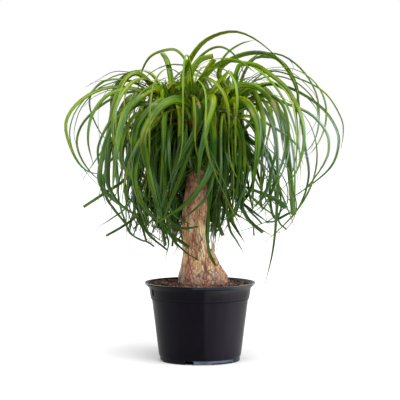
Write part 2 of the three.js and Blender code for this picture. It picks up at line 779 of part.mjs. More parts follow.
// Pitch and azimuth of a leaf at a share of its length: it droops early when its bend is
// over 1, sways, and swings sideways towards its tip
function leafAngles(leaf, share) {
  return {
    pitch: mix(leaf.pitch, leaf.endPitch, 1 - (1 - share) ** leaf.bend),
    azimuth: leaf.azimuth + leaf.drift * share ** 2 + leaf.sway * Math.sin(share * LEAF_RULE.swayRate),
  };
}

// The blade is a little wider where it clasps the stem, and runs out to a fine tip unless cut
function bladeWidth(leaf, share) {
  const along = share * (leaf.cut ? CUT_AT : 1);
  const clasp = 1 + CLASP * Math.max(0, 1 - along / CLASP_SHARE);
  return Math.max(leaf.width * clasp * (1 - along ** FULLNESS) ** TAPER, TIP_WIDTH);
}

// Stations along a leaf of the rule: where the midrib is, and which way the blade lies
function ruleStations(leaf, steps) {
  const stations = [];
  const point = leaf.root.clone();
  for (let k = 0; k <= steps; k += 1) {
    const share = k / steps;
    const { azimuth, pitch } = leafAngles(leaf, share);
    const along = heading(azimuth, pitch);
    const level = new THREE.Vector3(-Math.sin(azimuth), Math.cos(azimuth), 0);
    const across = level.applyAxisAngle(along, leaf.twist * share ** LEAF_RULE.twistPower);
    stations.push({ point: point.clone(), along, across, width: bladeWidth(leaf, share) });
    const next = leafAngles(leaf, (k + 0.5) / steps);
    if (k < steps) point.addScaledVector(heading(next.azimuth, next.pitch), leaf.length / steps);
  }
  return stations;
}

// Where a point measured on the plane through the pot's middle lies at a depth
function atDepth([x, z], depth) {
  return new THREE.Vector3(x, 0, z).lerp(EYE, depth / EYE.y);
}

// Stations along a leaf set by hand, its face turned from the eye by so many degrees
function setStations(leaf, steps, depthBend) {
  const head = HEADS.find(({ name }) => name === leaf.head);
  const root = onStem(head, mix(HEAD_STARTS, 1, leaf.grows));
  const last = leaf.route.length - 1;
  const points = leaf.route.map((place, i) => {
    const depth = mix(leaf.depth[0], leaf.depth[1], i / last);
    return atDepth(place, depth + (depthBend * (i + 1)) / last);
  });
  const curve = new THREE.CatmullRomCurve3([root, ...points], false, "catmullrom", 0.5);
  return Array.from({ length: steps + 1 }, (unused, k) => {
    const share = k / steps;
    const point = curve.getPoint(share);
    const along = curve.getTangent(share);
    const facing = EYE.clone().sub(point).normalize();
    const flat = facing.cross(along).normalize();
    const across = flat.applyAxisAngle(along, mix(leaf.turn[0], leaf.turn[1], share) * DEG);
    return { point, along, across, width: bladeWidth(leaf, share) };
  });
}

// Splits each four-cornered piece of the long faces along the diagonal that bulges outwards, so
// that the faces of a thin twisted blade don't cross
function splitOutwards(geometry) {
  const { index, attributes } = geometry;
  const corner = (i) => new THREE.Vector3().fromBufferAttribute(attributes.position, i);
  const plane = new THREE.Plane();
  for (let i = 0; i + 6 <= index.count; i += 3) {
    const [a, b, d, secondB, c, secondD] = index.array.subarray(i, i + 6);
    if (b === secondB && d === secondD) {
      plane.setFromCoplanarPoints(corner(a), corner(b), corner(d));
      if (plane.distanceToPoint(corner(c)) > 0) index.array.set([a, b, c, a, c, d], i);
    }
  }
  return geometry;
}

// A blade with three long faces, its flat face up and its keel below, grown by margin
function bladeSolid(stations, cut, margin = 0) {
  const steps = stations.length - 1;
  const shape = new THREE.CylinderGeometry(cut ? 1 : 0, 1, steps, 3, steps).rotateX(Math.PI / 2);
  const solid = reshaped(shape, (corner) => {
    const { point, along, across, width } = stations[Math.round(corner.z + steps / 2)];
    const under = along.clone().cross(across);
    const keel = KEEL_LEAST + KEEL_SHARE * width + 2 * margin;
    if (Math.hypot(corner.x, corner.y) < NO_LENGTH) {
      corner.copy(point).addScaledVector(under, -keel / 3);
      return;
    }
    const side = Math.abs(corner.x) < NO_LENGTH ? 0 : Math.sign(corner.x);
    corner.copy(point).addScaledVector(across, side * (width / 2 + margin));
    corner.addScaledVector(under, side === 0 ? -keel : margin);
  });
  return solidOf(splitOutwards(solid));
}

// How far the leaf's outermost point reaches, in shares of the crown's radii
function reach(stations) {
  const shares = stations.map(({ point }) =>
    Math.hypot(point.x / CROWN.x, point.y / CROWN.y, (point.z - CROWN.middle) / CROWN.z),
  );
  return Math.max(...shares);
}

function inZone(point, zone) {
  return ["x", "y", "z"].every((axis) => zone[axis][0] < point[axis] && point[axis] < zone[axis][1]);
}

function passes(stations, zones) {
  return stations.some(({ point }) => zones.some((zone) => inZone(point, zone)));
}

function keepsInCore(stations) {
  const spreads = stations.map(({ point: { x, y } }) =>
    Math.hypot((x - CORE.x) / CROWN.x, y / CROWN.y),
  );
  return Math.max(...spreads) <= CORE.spread && !passes(stations, THIN_ZONES);
}

function keepsInCrown(stations) {
  return reach(stations) <= CROWN.slack && !passes(stations, BARE_ZONES);
}

// One try at a leaf of a head: the youngest stand up in the middle, the oldest hang outside
function drawLeaf(head, order, attempt, draws) {
  const rule = LEAF_RULE;
  const age = (order + 0.5) / head.leaves;
  const lean = vector(head.tip).sub(vector(head.fork)).normalize().setZ(0).multiplyScalar(rule.lean);
  const turnDeg = order * rule.turnDeg + draws.either(rule.turnSpreadDeg) + attempt * rule.retryTurnDeg;
  const pitchDeg = mix(...rule.pitchDeg, age ** rule.pitchPower) + draws.either(rule.pitchSpreadDeg);
  const launch = heading(turnDeg * DEG, pitchDeg * DEG).add(lean).normalize();
  const spring = draws.next();
  const endPitchDeg = mix(...rule.endPitchDeg, spring ** rule.endPitchPower);
  const grown = mix(...rule.length, Math.min(1, age / rule.fullLengthAge));
  return {
    root: onStem(head, mix(...rule.rootShare, age)).addScaledVector(launch, ROOT_OUT),
    azimuth: Math.atan2(launch.y, launch.x),
    pitch: Math.asin(launch.z),
    bend: mix(...rule.bend, spring),
    endPitch: (endPitchDeg + draws.either(rule.endPitchSpreadDeg)) * DEG,
    length: grown * mix(1, rule.oldLengthShare, age) * mix(...rule.lengthSpread, draws.next()),
    drift: draws.either(rule.driftDeg) * DEG,
    sway: draws.either(rule.swayDeg) * DEG,
    width: mix(...rule.width, draws.next() ** rule.widthPower),
    twist: draws.either(rule.twistDeg) * DEG,
    cut: draws.next() < rule.cutShare,
  };
}

// The leaves of a head by the rule: one that leaves its place in the crown droops earlier and
// is shortened, and if that doesn't do, is drawn again
function ruleLeaves(head) {
  const draws = new Draws(head.seed);
  const leaves = [];
  for (let order = 0; order < head.leaves; order += 1) {
    let kept = null;
    for (let attempt = 0; attempt < LEAF_RULE.tries && !kept; attempt += 1) {
      const leaf = drawLeaf(head, order, attempt, draws);
      kept = LEAF_RULE.ways
        .map(([length, bend]) => ({ ...leaf, length: leaf.length * length, bend: leaf.bend * bend }))
        .find((way) => {
          const stations = ruleStations(way, 2 * BLADE_STEPS);
          const inPlace = order % FAR_ONE_IN === 0 || keepsInCore(stations);
          return inPlace && keepsInCrown(stations);
        });
    }
    if (kept) leaves.push(kept);
  }
  return leaves;
}

function touches(probe, solids) {
  return solids.some((solid) => probe.intersect(solid).volume() > 0);
}

// The first bend of a leaf that clears all that isn't its own head, and if possible its head
function clearStations(ways, cut, others, own) {
  let second = null;
  for (const stations of ways) {
    const free = !touches(bladeSolid(stations, cut, GAP), others);
    if (free && !touches(bladeSolid(stations.slice(CLEAR_FROM), cut, GAP), [own])) return stations;
    if (free && !second) second = stations;
  }
  return second;
}

function ruleWays(leaf) {
  return BENDS.map(([azimuth, pitch]) =>
    ruleStations(
      { ...leaf, azimuth: leaf.azimuth + azimuth * DEG, pitch: leaf.pitch + pitch * DEG },
      BLADE_STEPS,
    ),
  ).filter(keepsInCrown);
}

function leftOut(leaf, order) {
  return order % LEAF_RUN >= LEAVES_OF_RUN && reach(ruleStations(leaf, BLADE_STEPS)) < OUTER_REACH;
}

// All heads together, because each leaf is bent clear of the heads that stand already
function headSolids(fixed) {
  const heads = new Map();
  for (const head of HEADS) {
    heads.set(head.name, stick(onStem(head, HEAD_STARTS), vector(head.tip), STEM_RADII));
  }
  const grow = (name, ways, cut) => {
    const others = [...fixed, ...[...heads].filter(([other]) => other !== name).map(([, solid]) => solid)];
    const stations = clearStations(ways, cut, others, heads.get(name));
    if (stations) heads.set(name, heads.get(name).add(bladeSolid(stations, cut)));
  };
  for (const leaf of SET_LEAVES) {
    const ways = DEPTH_BENDS.map((depth) => setStations(leaf, LONG_BLADE_STEPS, depth));
    grow(leaf.head, ways, Boolean(leaf.cut));
  }
  const rows = HEADS.map((head) => ({ name: head.name, leaves: ruleLeaves(head) }));
  const most = Math.max(...rows.map(({ leaves }) => leaves.length));
  for (let order = 0; order < most; order += 1) {
    for (const { name, leaves } of rows) {
      const leaf = leaves[order];
      if (leaf && !leftOut(leaf, order)) grow(name, ruleWays(leaf), leaf.cut);
    }
  }
  return [...heads].map(([name, solid]) => [name, mainBody(solid)]);
}

// Assembly

const pot = potSolid();
const soil = soilSolid();
const trunk = trunkSolid();

const plant = new THREE.Group();
plant.name = "ponytail_palm";
for (const [name, solid] of headSolids([pot, trunk])) {
  plant.add(meshOf(name, solid, MATERIALS.leaf));
}
plant.add(meshOf("trunk", trunk, MATERIALS.bark));

const part = new THREE.Group();
part.name = "potted_ponytail_palm";
part.add(meshOf("pot", pot, MATERIALS.pot));
part.add(meshOf("soil", soil, MATERIALS.soil));
part.add(plant);

export default part;
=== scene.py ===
"""Potted ponytail palm, laid out as a Blender add-on and run as a script.

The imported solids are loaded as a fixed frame. Each operator then models one piece, or one group
of like pieces, in its place: the nursery pot, the potting mix and its bark chips, the trunk with
its loose strip of bark, and the five heads of leaves. The stage comes first.
"""

import math

import bpy
import numpy as np
from mathutils import Matrix, Vector, noise


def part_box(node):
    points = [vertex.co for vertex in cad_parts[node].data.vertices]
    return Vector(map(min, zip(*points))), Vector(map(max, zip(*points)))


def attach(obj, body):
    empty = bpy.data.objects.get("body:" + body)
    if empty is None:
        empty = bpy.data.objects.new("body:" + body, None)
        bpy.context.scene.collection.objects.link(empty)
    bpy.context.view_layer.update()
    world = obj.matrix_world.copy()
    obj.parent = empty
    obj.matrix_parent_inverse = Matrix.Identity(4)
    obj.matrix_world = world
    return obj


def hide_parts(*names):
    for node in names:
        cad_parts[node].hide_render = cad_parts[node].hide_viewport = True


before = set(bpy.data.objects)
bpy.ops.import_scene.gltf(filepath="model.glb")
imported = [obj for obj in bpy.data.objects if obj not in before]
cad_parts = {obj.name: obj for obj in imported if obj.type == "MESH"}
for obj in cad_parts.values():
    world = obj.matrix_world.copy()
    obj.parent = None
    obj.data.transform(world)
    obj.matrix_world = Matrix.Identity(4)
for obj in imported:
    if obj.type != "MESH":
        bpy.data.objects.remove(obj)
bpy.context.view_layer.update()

bl_info = {
    "name": "Ponytail Palm",
    "version": (1, 0, 0),
    "blender": (4, 5, 0),
    "location": "View3D > Sidebar > Ponytail Palm",
    "description": "Models a ponytail palm in its nursery pot, piece by piece",
    "category": "Object",
}

# Sizes are in millimetres, but for those that say metres
MM = 0.001
FULL_TURN = 2 * math.pi
BODY = "root"

# Draws: each number is the one before times a factor, within a range
DRAW_FACTOR = 16807
DRAW_RANGE = 2147483647
DRAW_SPACING = 7919
DRAW_START = 17
DRAWS_SKIPPED = 5

# Pot: outline from the middle of the underside out and up to the collar, as (radius, height)
POT_OUTLINE = (
    (0, 7), (71, 7), (71, 0.6), (71.6, 0), (75.2, 0), (76, 0.8), (76.2, 7.4), (77.3, 9.2),
    (78.2, 11.2), (78.8, 14), (91.6, 115.4), (92.1, 117.4), (93.5, 118.7), (94.2, 120.2),
    (94.5, 122), (96.6, 136.6), (97.1, 138.5), (98.0, 140.2),
)
# Lining, from the top of the collar down to the middle of the floor
POT_LINING = (
    (97.6, 142.2), (96.1, 140.7), (95.2, 138), (92.9, 121.4), (92.4, 119.8), (90.9, 118.8),
    (90.3, 117), (77.1, 15), (76.3, 12.4), (74.6, 10.4), (72, 9), (0, 9),
)
LIP_DEPTH = 3
LIP_ROUND = 0.8
POT_STEPS = 144
SHARP_ANGLE = math.radians(34)

# Foot ring and its gaps: middle, width in narrow gaps, height, and the rib beside it
FOOT_RADIUS = 76
FOOT_GAPS = ((-105, 1, 7, -85), (-56, 3, 3.2, -14))
FOOT_REPEATS = 3
FOOT_SINK = -0.3
GAP_REACH = 30
GAP_ROUND = 1.2
DRAIN_SIZE = (16, 9, 14)
DRAIN_PLACE = (63, 9)
BOSS_RADIUS = 15
RIB_WIDTH = 3
RIB_REACH = 73.5
UNDERSIDE_DEPTH = 8

# Thumb recesses: their angles, radii, and place as distance from the axis and height
GRIP_ANGLES = (math.radians(-158), math.radians(-4))
GRIP_RADII = (7.5, 7.5, 11)
GRIP_PLACE = (100.5, 131)

# Heights in metres at which the pot's finish changes and its painted highlights and shadows lie
LIP_HEIGHTS = (0.1442, 0.1454)
UNDER_LIP = ((0.1416, 0.1426), (0.145, 0.1444))
COLLAR_HEIGHTS = (0.133, 0.138)
SHINE_HEIGHTS = (0.126, 0.142)
LEDGE = ((0.1206, 0.1212), (0.123, 0.122))
CREASE_FOOT = (0.1176, 0.1184)
CREASE_TOP = (0.1206, 0.1196)
BLACK = (0, 0, 0)

# Potting mix: share of its fall from the crown to the edge, by distance from the axis, and
# its side under the edge as (radius, height)
MIX_RADIUS = 94.4
MIX_CROWN = 146.5
MIX_EDGE = 140.5
MIX_FALL = ((0, 0), (60, 0), (74, 0.2), (86, 0.55), (95, 1))
MIX_SIDE = ((91, 138), (89.4, 118), (76, 13), (72, 7.6))
# How far the mix is heaped up the flare of the collar at its left and right edge, how far it
# spreads out with that, and from where to where the heaps rise
MIX_HEAPS = (3.8, 1.6)
MIX_SPREAD = 4.4
HEAP_LEFT = (-30, -80)
HEAP_RIGHT = (40, 85)
HEAP_RADII = (45, 88)
# Lumps of the mix, wide and fine: their width and their share of the relief
LUMPS = ((21, 0.6), (5, 0.5))
MIX_RINGS = 46
MIX_SIDES = 180
CHIP_SHAPES = ((1, 0.55, 0.28), (0.7, 0.6, 0.5), (1, 0.3, 0.22))
CHIP_BEVEL = 0.16
CHIP_ROUGHNESS = 0.9
CHIP_RADII = (38, 92.5)
CHIP_SIZES = (2.6, 11)
SMALLEST_CHIP = 1.2
CHIP_SEED = 5

# Trunk: height, middle and half width of its sections, as in the solids
TRUNK_SECTIONS = (
    (82, 3, 20), (100, 5, 35), (122, 6, 46), (146, 6, 49), (152, 5.5, 47.5), (160, 5, 45),
    (170, 2.5, 41), (180, 0, 36.5), (200, -3, 30.5), (215, -4.5, 28.5), (231, -5.5, 27),
    (257, -8, 26), (280, -8.5, 25), (304, -8.5, 23.5), (329, -6.5, 20.5), (350, -5, 19),
    (372, -4, 20), (390, -3, 17),
)
# How far the skin lies back behind the loose strip of bark, and the heights where that ends
HOLLOW_DEPTH = 6.5
HOLLOW_FOOT = (201, 216)
HOLLOW_TOP = (262, 240)
BARK_STARTS = 152
BARK_ENDS = 366
# Furrows: how many go round, their pitch, phase and share of the depth
FURROWS = ((5, 40, 0, 1), (8, -55, 1, 0.7))
FURROW_DEPTH = 0.045
ROOT_LOBES = 6
ROOT_HEIGHT = 22
LOBE_DEPTH = 0.05
BRANCH_RADIUS = 11
BRANCH_START = (-4, 0, 368)
# Relief of the bark: the radius at which its noise is read, how far from the noise's zero a
# fissure or crack ends, the gap between plates, the heights of scales and fissures, and shares
BARK_ROUND = 30
FISSURE_EDGE = (0, 0.085)
CRACK_EDGE = (0, 0.11)
PLATE_EDGE = (0.04, 0.16)
SCALY_BELOW = (186, 158)
FISSURED_ABOVE = (150, 175)
SHALLOW = 0.6
FIBRE_SHARE = 0.45

# Loose strip of bark, in metres: middle and half width of its rings, which are then flattened
STRIP_RINGS = (
    ((0.0215, -0.008, 0.192), 0.0048), ((0.0242, -0.009, 0.203), 0.0046),
    ((0.0248, -0.009, 0.212), 0.0036), ((0.0240, -0.010, 0.221), 0.0025),
    ((0.0226, -0.010, 0.230), 0.0015), ((0.0214, -0.010, 0.238), 0.0005),
)
STRIP_Y = -0.0095
STRIP_FLATNESS = 0.5

# Middle in metres of the place where the bark has peeled, and how sharply it ends on each axis
PEELED_MIDDLE = (0.003, -0.03, 0.23)
PEELED_SCALE = (95, 40, 24)

# Heads: where each branch leaves the fork, its tip, how many leaves it bears and its seed
HEADS = {
    "head_left": ((-14, -2, 398), (-74, -14, 508), 112, 11),
    "head_front": ((-6, -12, 400), (-12, -48, 502), 66, 23),
    "head_right": ((10, -2, 398), (68, -16, 504), 68, 37),
    "head_back_left": ((-8, 10, 400), (-40, 56, 508), 78, 41),
    "head_back_right": ((6, 12, 400), (40, 62, 504), 60, 59),
}
# Added to a head's seed for the blades, for the leaf bases and for the leaves inside
BLADE_SEED, SHEATH_SEED, INNER_SEED = 100, 200, 300
HEAD_STARTS = 0.32
STEM_RADII = (11, 15, 16, 13, 5)

# Blades
BLADE_STEPS = 28
BLADE_THICKNESS = 0.36
ROOT_OUT = 7
CLASP = 0.3
CLASP_SHARE = 0.1
FULLNESS = 3.4
TAPER = 0.9
TIP_WIDTH = 0.8
CUT_AT = 0.65
SHEATH_WIDTHS = (20, 14)
SHEATH_LENGTHS = (38, 70)
SHEATH_CHANNEL = 0.22
SHEATH_THICKNESS = 0.5

# Leaves of the rule, from the youngest to the oldest
START_PITCHES = (88, -25)
END_PITCHES = (-64, -175)
LEAF_LENGTHS = (330, 460)
LEAF_WIDTHS = (3.6, 15)
TURN = math.radians(137.508)
SWAY_RATE = 6
TRIES = 6
TRIAL_STEPS = 12
# Shares of its length and bend that a leaf is tried with until it keeps in its place
LEAF_WAYS = ((1, 1), (0.97, 1.8), (0.9, 2.8), (0.75, 3), (0.6, 2.4))
INNER_SHARES = (1, 0.75, 0.55, 0.4, 0.3)

# The leaves keep to a round crown, and leave the trunk in view from the front
CROWN = (262, 250, 205)
CROWN_MIDDLE = 418
CROWN_SLACK = 1.05
BARE_ZONES = (
    ((-34, -300, 0), (24, 0, 350)),
    ((-300, -300, 542), (-135, 300, 700)),
)

# Only one in so many leaves of the rule arches far out, or passes through a zone that is thin:
# before the middle of the crown, over it, and low on the right
FAR_ONE_IN = 3
CORE_X = 14
CORE_SPREAD = 0.62
THIN_ZONES = (
    ((-115, -300, 230), (115, -60, 490)),
    ((-130, -300, 520), (130, 10, 650)),
    ((45, -300, 180), (300, 300, 335)),
    ((75, -300, 335), (300, 300, 430)),
)

# Colours that a blade leans to, and the tones of the leaves on routes of their own
BLUER = (0.68, 1.03, 0.78)
YELLOWER = (1.18, 1.04, 0.45)
SET_TONES = (0.15, 0.68)
SMALL_TONES = (0.0, 0.5)

# Stage, in metres, and the eye that the routes are seen from, in millimetres
KEY_FROM = (0.14, -0.48, 1.0)
KEY_SPREAD = math.radians(50)
LIT_PLACE = (0, 0, 0.2)
ROOM_DEPTHS = (-0.5, 0.6)

EYE = (0, -4000, 550)

# Leaves that stand out, by head, each with its place on the stem, its width, its depth and its
# turn from the eye at both ends, whether its tip is cut, and its route across and up
SET_LEAVES = {
    "head_left": (
        (0.7, 8, (-10, -30), (40, 20), False, ((-95, 511), (-169, 521), (-226, 496), (-255, 453),
         (-243, 399), (-217, 363), (-179, 354))),
        (0.95, 12, (0, 30), (20, 30), True, ((-55, 519), (-57, 549), (-63, 572), (-72, 586))),
        (0.6, 16, (-50, -150), (35, 5), False, ((-80, 519), (-110, 506), (-139, 477), (-154, 430),
         (-162, 373), (-167, 316))),
        (0.8, 5, (-10, 10), (40, 20), False, ((-127, 530), (-177, 534), (-205, 511), (-209, 481),
         (-192, 439), (-167, 409))),
        (0.3, 7, (-20, -20), (40, 20), True, ((-99, 462), (-108, 401), (-141, 348), (-184, 318),
         (-222, 293))),
        (0.3, 5, (-30, -20), (40, 20), False, ((-95, 439), (-110, 354), (-139, 295), (-167, 272),
         (-196, 253))),
        (0.2, 6, (-40, -30), (40, 20), True, ((-80, 420), (-95, 325), (-118, 280), (-146, 257),
         (-179, 238))),
        (0.2, 6, (-70, -80), (20, 10), False, ((-61, 420), (-68, 325), (-57, 245), (-30, 209),
         (4, 188))),
        (0.5, 13, (-60, -120), (30, 10), False, ((-70, 496), (-95, 481), (-120, 449), (-127, 401),
         (-123, 344), (-112, 297))),
        (0.8, 9, (-40, -60), (40, 20), False, ((-95, 506), (-133, 519), (-175, 506), (-205, 468),
         (-213, 420), (-203, 373))),
        (0.5, 11, (-60, -90), (35, 15), False, ((-85, 487), (-123, 487), (-162, 454), (-184, 401),
         (-190, 344), (-179, 297))),
        (0.8, 6, (10, 0), (40, 20), False, ((-99, 511), (-142, 510), (-184, 489), (-220, 456),
         (-234, 422), (-228, 390), (-207, 358), (-175, 331))),
        (0.9, 3.5, (20, 40), (50, 20), False, ((-112, 542), (-156, 544), (-196, 521), (-230, 485),
         (-245, 453), (-247, 422), (-236, 388), (-209, 350), (-177, 321))),
        (0.85, 11, (-10, -70), (30, 10), False, ((-108, 542), (-133, 544), (-156, 511),
         (-173, 439), (-177, 382), (-177, 344), (-167, 318), (-150, 297), (-116, 274))),
        (0.5, 6.5, (-30, -60), (40, 20), False, ((-95, 485), (-127, 487), (-160, 470), (-182, 437),
         (-194, 405), (-192, 375), (-184, 344), (-179, 306))),
        (0.4, 7.5, (-60, -110), (30, 10), False, ((-99, 477), (-116, 430), (-133, 399),
         (-141, 377), (-137, 344), (-141, 314), (-139, 289))),
        (0.2, 5, (-20, 10), (30, 30), False, ((-95, 449), (-137, 420), (-175, 373), (-182, 329),
         (-169, 295), (-144, 263), (-129, 240), (-110, 230), (-87, 217))),
        (0.2, 5, (-60, -50), (30, 20), False, ((-91, 430), (-114, 373), (-127, 316), (-118, 266),
         (-89, 234), (-65, 213))),
        (0.3, 7, (-70, -120), (20, 10), False, ((-114, 473), (-144, 430), (-150, 382), (-131, 350),
         (-116, 325), (-110, 301), (-101, 261))),
        (0.2, 7, (-50, -70), (20, 10), False, ((-80, 432), (-91, 399), (-93, 369), (-84, 335),
         (-74, 297), (-70, 249), (-66, 211))),
    ),
    "head_front": (
        (0.9, 12, (0, -30), (0, 110), False, ((-32, 527), (-21, 568), (13, 610), (70, 625),
         (129, 593), (179, 530), (194, 430))),
        (0.95, 7, (10, 30), (50, 20), False, ((-23, 561), (-42, 589), (-66, 591), (-95, 578),
         (-112, 546), (-120, 500))),
        (0.75, 18, (-70, -185), (35, 5), False, ((-27, 494), (-49, 498), (-76, 483), (-101, 447),
         (-108, 411), (-95, 350), (-74, 274))),
        (0.6, 15, (-80, -160), (10, 5), False, ((15, 494), (23, 504), (25, 487), (15, 456),
         (8, 426), (0, 386), (-4, 325))),
        (0.9, 13, (0, -10), (20, 10), True, ((-2, 515), (6, 538), (27, 574))),
        (0.2, 6, (-60, -70), (20, 10), False, ((23, 401), (21, 325), (13, 259), (15, 217),
         (30, 185))),
        (0.5, 13, (-60, -120), (20, 10), False, ((-19, 500), (-6, 491), (-4, 462), (-13, 430),
         (-30, 401), (-46, 373), (-57, 344))),
        (0.2, 12, (-50, -100), (30, 15), False, ((-27, 443), (-30, 420), (-34, 388), (-51, 352),
         (-57, 316))),
        (0.9, 13, (-30, -20), (20, 30), True, ((-21, 530), (-13, 556), (2, 573), (25, 580))),
        (0.8, 11, (-40, -40), (10, 20), False, ((11, 498), (34, 529), (57, 555))),
        (0.95, 6, (-10, -30), (20, 60), False, ((-19, 549), (8, 585), (38, 597), (65, 582),
         (80, 555), (87, 515))),
        (0.95, 12, (-30, -80), (30, 40), False, ((0, 512), (13, 544), (42, 568), (76, 568),
         (104, 549))),
    ),
    "head_right": (
        (0.9, 12, (0, -40), (30, 60), False, ((36, 546), (61, 574), (104, 586), (144, 576),
         (173, 540), (188, 489), (190, 401))),
        (0.4, 16, (-70, -125), (30, 5), False, ((23, 462), (25, 420), (21, 378), (6, 340),
         (-28, 298), (-91, 257))),
        (0.7, 18, (-60, -170), (35, 5), False, ((59, 489), (78, 496), (95, 483), (108, 454),
         (110, 420), (106, 373), (97, 306))),
        (0.9, 4.5, (-20, -20), (50, 20), False, ((95, 567), (144, 584), (190, 557), (220, 510),
         (226, 456), (215, 415), (186, 382))),
        (0.8, 4, (0, 20), (50, 20), False, ((125, 549), (190, 536), (239, 508), (268, 462),
         (272, 432), (268, 405))),
        (0.7, 6.5, (-20, -20), (40, 20), False, ((118, 523), (171, 519), (230, 483), (260, 439),
         (262, 403), (247, 367), (205, 331), (150, 295))),
        (0.6, 6.5, (-40, -60), (40, 20), False, ((118, 504), (165, 489), (209, 470), (238, 439),
         (245, 411), (239, 382), (213, 342), (182, 312))),
        (0.7, 9, (-30, -50), (40, 20), False, ((95, 511), (125, 489), (142, 439), (148, 363),
         (146, 287), (139, 211), (124, 145))),
        (0.2, 6, (-60, -60), (30, 10), False, ((46, 420), (49, 325), (55, 257), (70, 228),
         (84, 204))),
        (0.2, 8, (-20, -20), (30, 10), True, ((65, 420), (72, 325), (89, 274), (120, 244))),
        (0.8, 7, (20, 30), (40, 20), False, ((118, 527), (160, 517), (184, 489), (194, 449),
         (200, 405), (207, 361), (201, 323), (188, 293), (173, 268))),
        (0.4, 11, (-60, -110), (30, 20), False, ((34, 473), (53, 475), (72, 451), (82, 415),
         (85, 373), (82, 335))),
        (0.8, 12, (-60, -120), (20, 10), False, ((95, 515), (108, 500), (120, 462), (120, 420),
         (110, 373))),
        (0.95, 6, (0, 0), (40, 30), False, ((36, 549), (49, 582), (76, 602), (103, 610))),
        (0.8, 12, (-60, -110), (30, 15), False, ((47, 512), (76, 525), (110, 519), (137, 492),
         (152, 449), (158, 401))),
        (0.9, 9.5, (-50, -90), (30, 15), False, ((72, 559), (103, 563), (129, 548), (160, 523),
         (180, 494), (194, 458), (198, 424), (194, 394), (182, 358), (152, 323))),
        (0.85, 7, (20, 40), (40, 20), False, ((95, 568), (129, 578), (156, 568), (177, 538),
         (186, 506), (182, 473), (186, 424), (180, 375), (169, 340))),
        (0.6, 7, (-60, -110), (30, 10), False, ((106, 504), (137, 504), (158, 485), (167, 449),
         (167, 416), (156, 375), (144, 348), (129, 320))),
        (0.4, 6.5, (-80, -40), (30, 20), False, ((87, 466), (110, 460), (133, 449), (162, 430),
         (186, 407), (196, 373))),
        (0.5, 6.5, (-70, -100), (30, 10), False, ((106, 489), (133, 458), (144, 411), (137, 367),
         (122, 318), (103, 295))),
        (0.5, 7.5, (-30, -60), (20, 20), False, ((87, 481), (110, 449), (118, 401), (116, 344),
         (118, 299))),
        (0.6, 4.5, (-60, -70), (30, 20), False, ((118, 496), (156, 462), (169, 411), (160, 367),
         (141, 329), (127, 299), (106, 276))),
        (0.3, 8, (-60, -80), (20, 10), False, ((57, 473), (72, 430), (76, 382), (70, 329),
         (66, 283))),
    ),
}

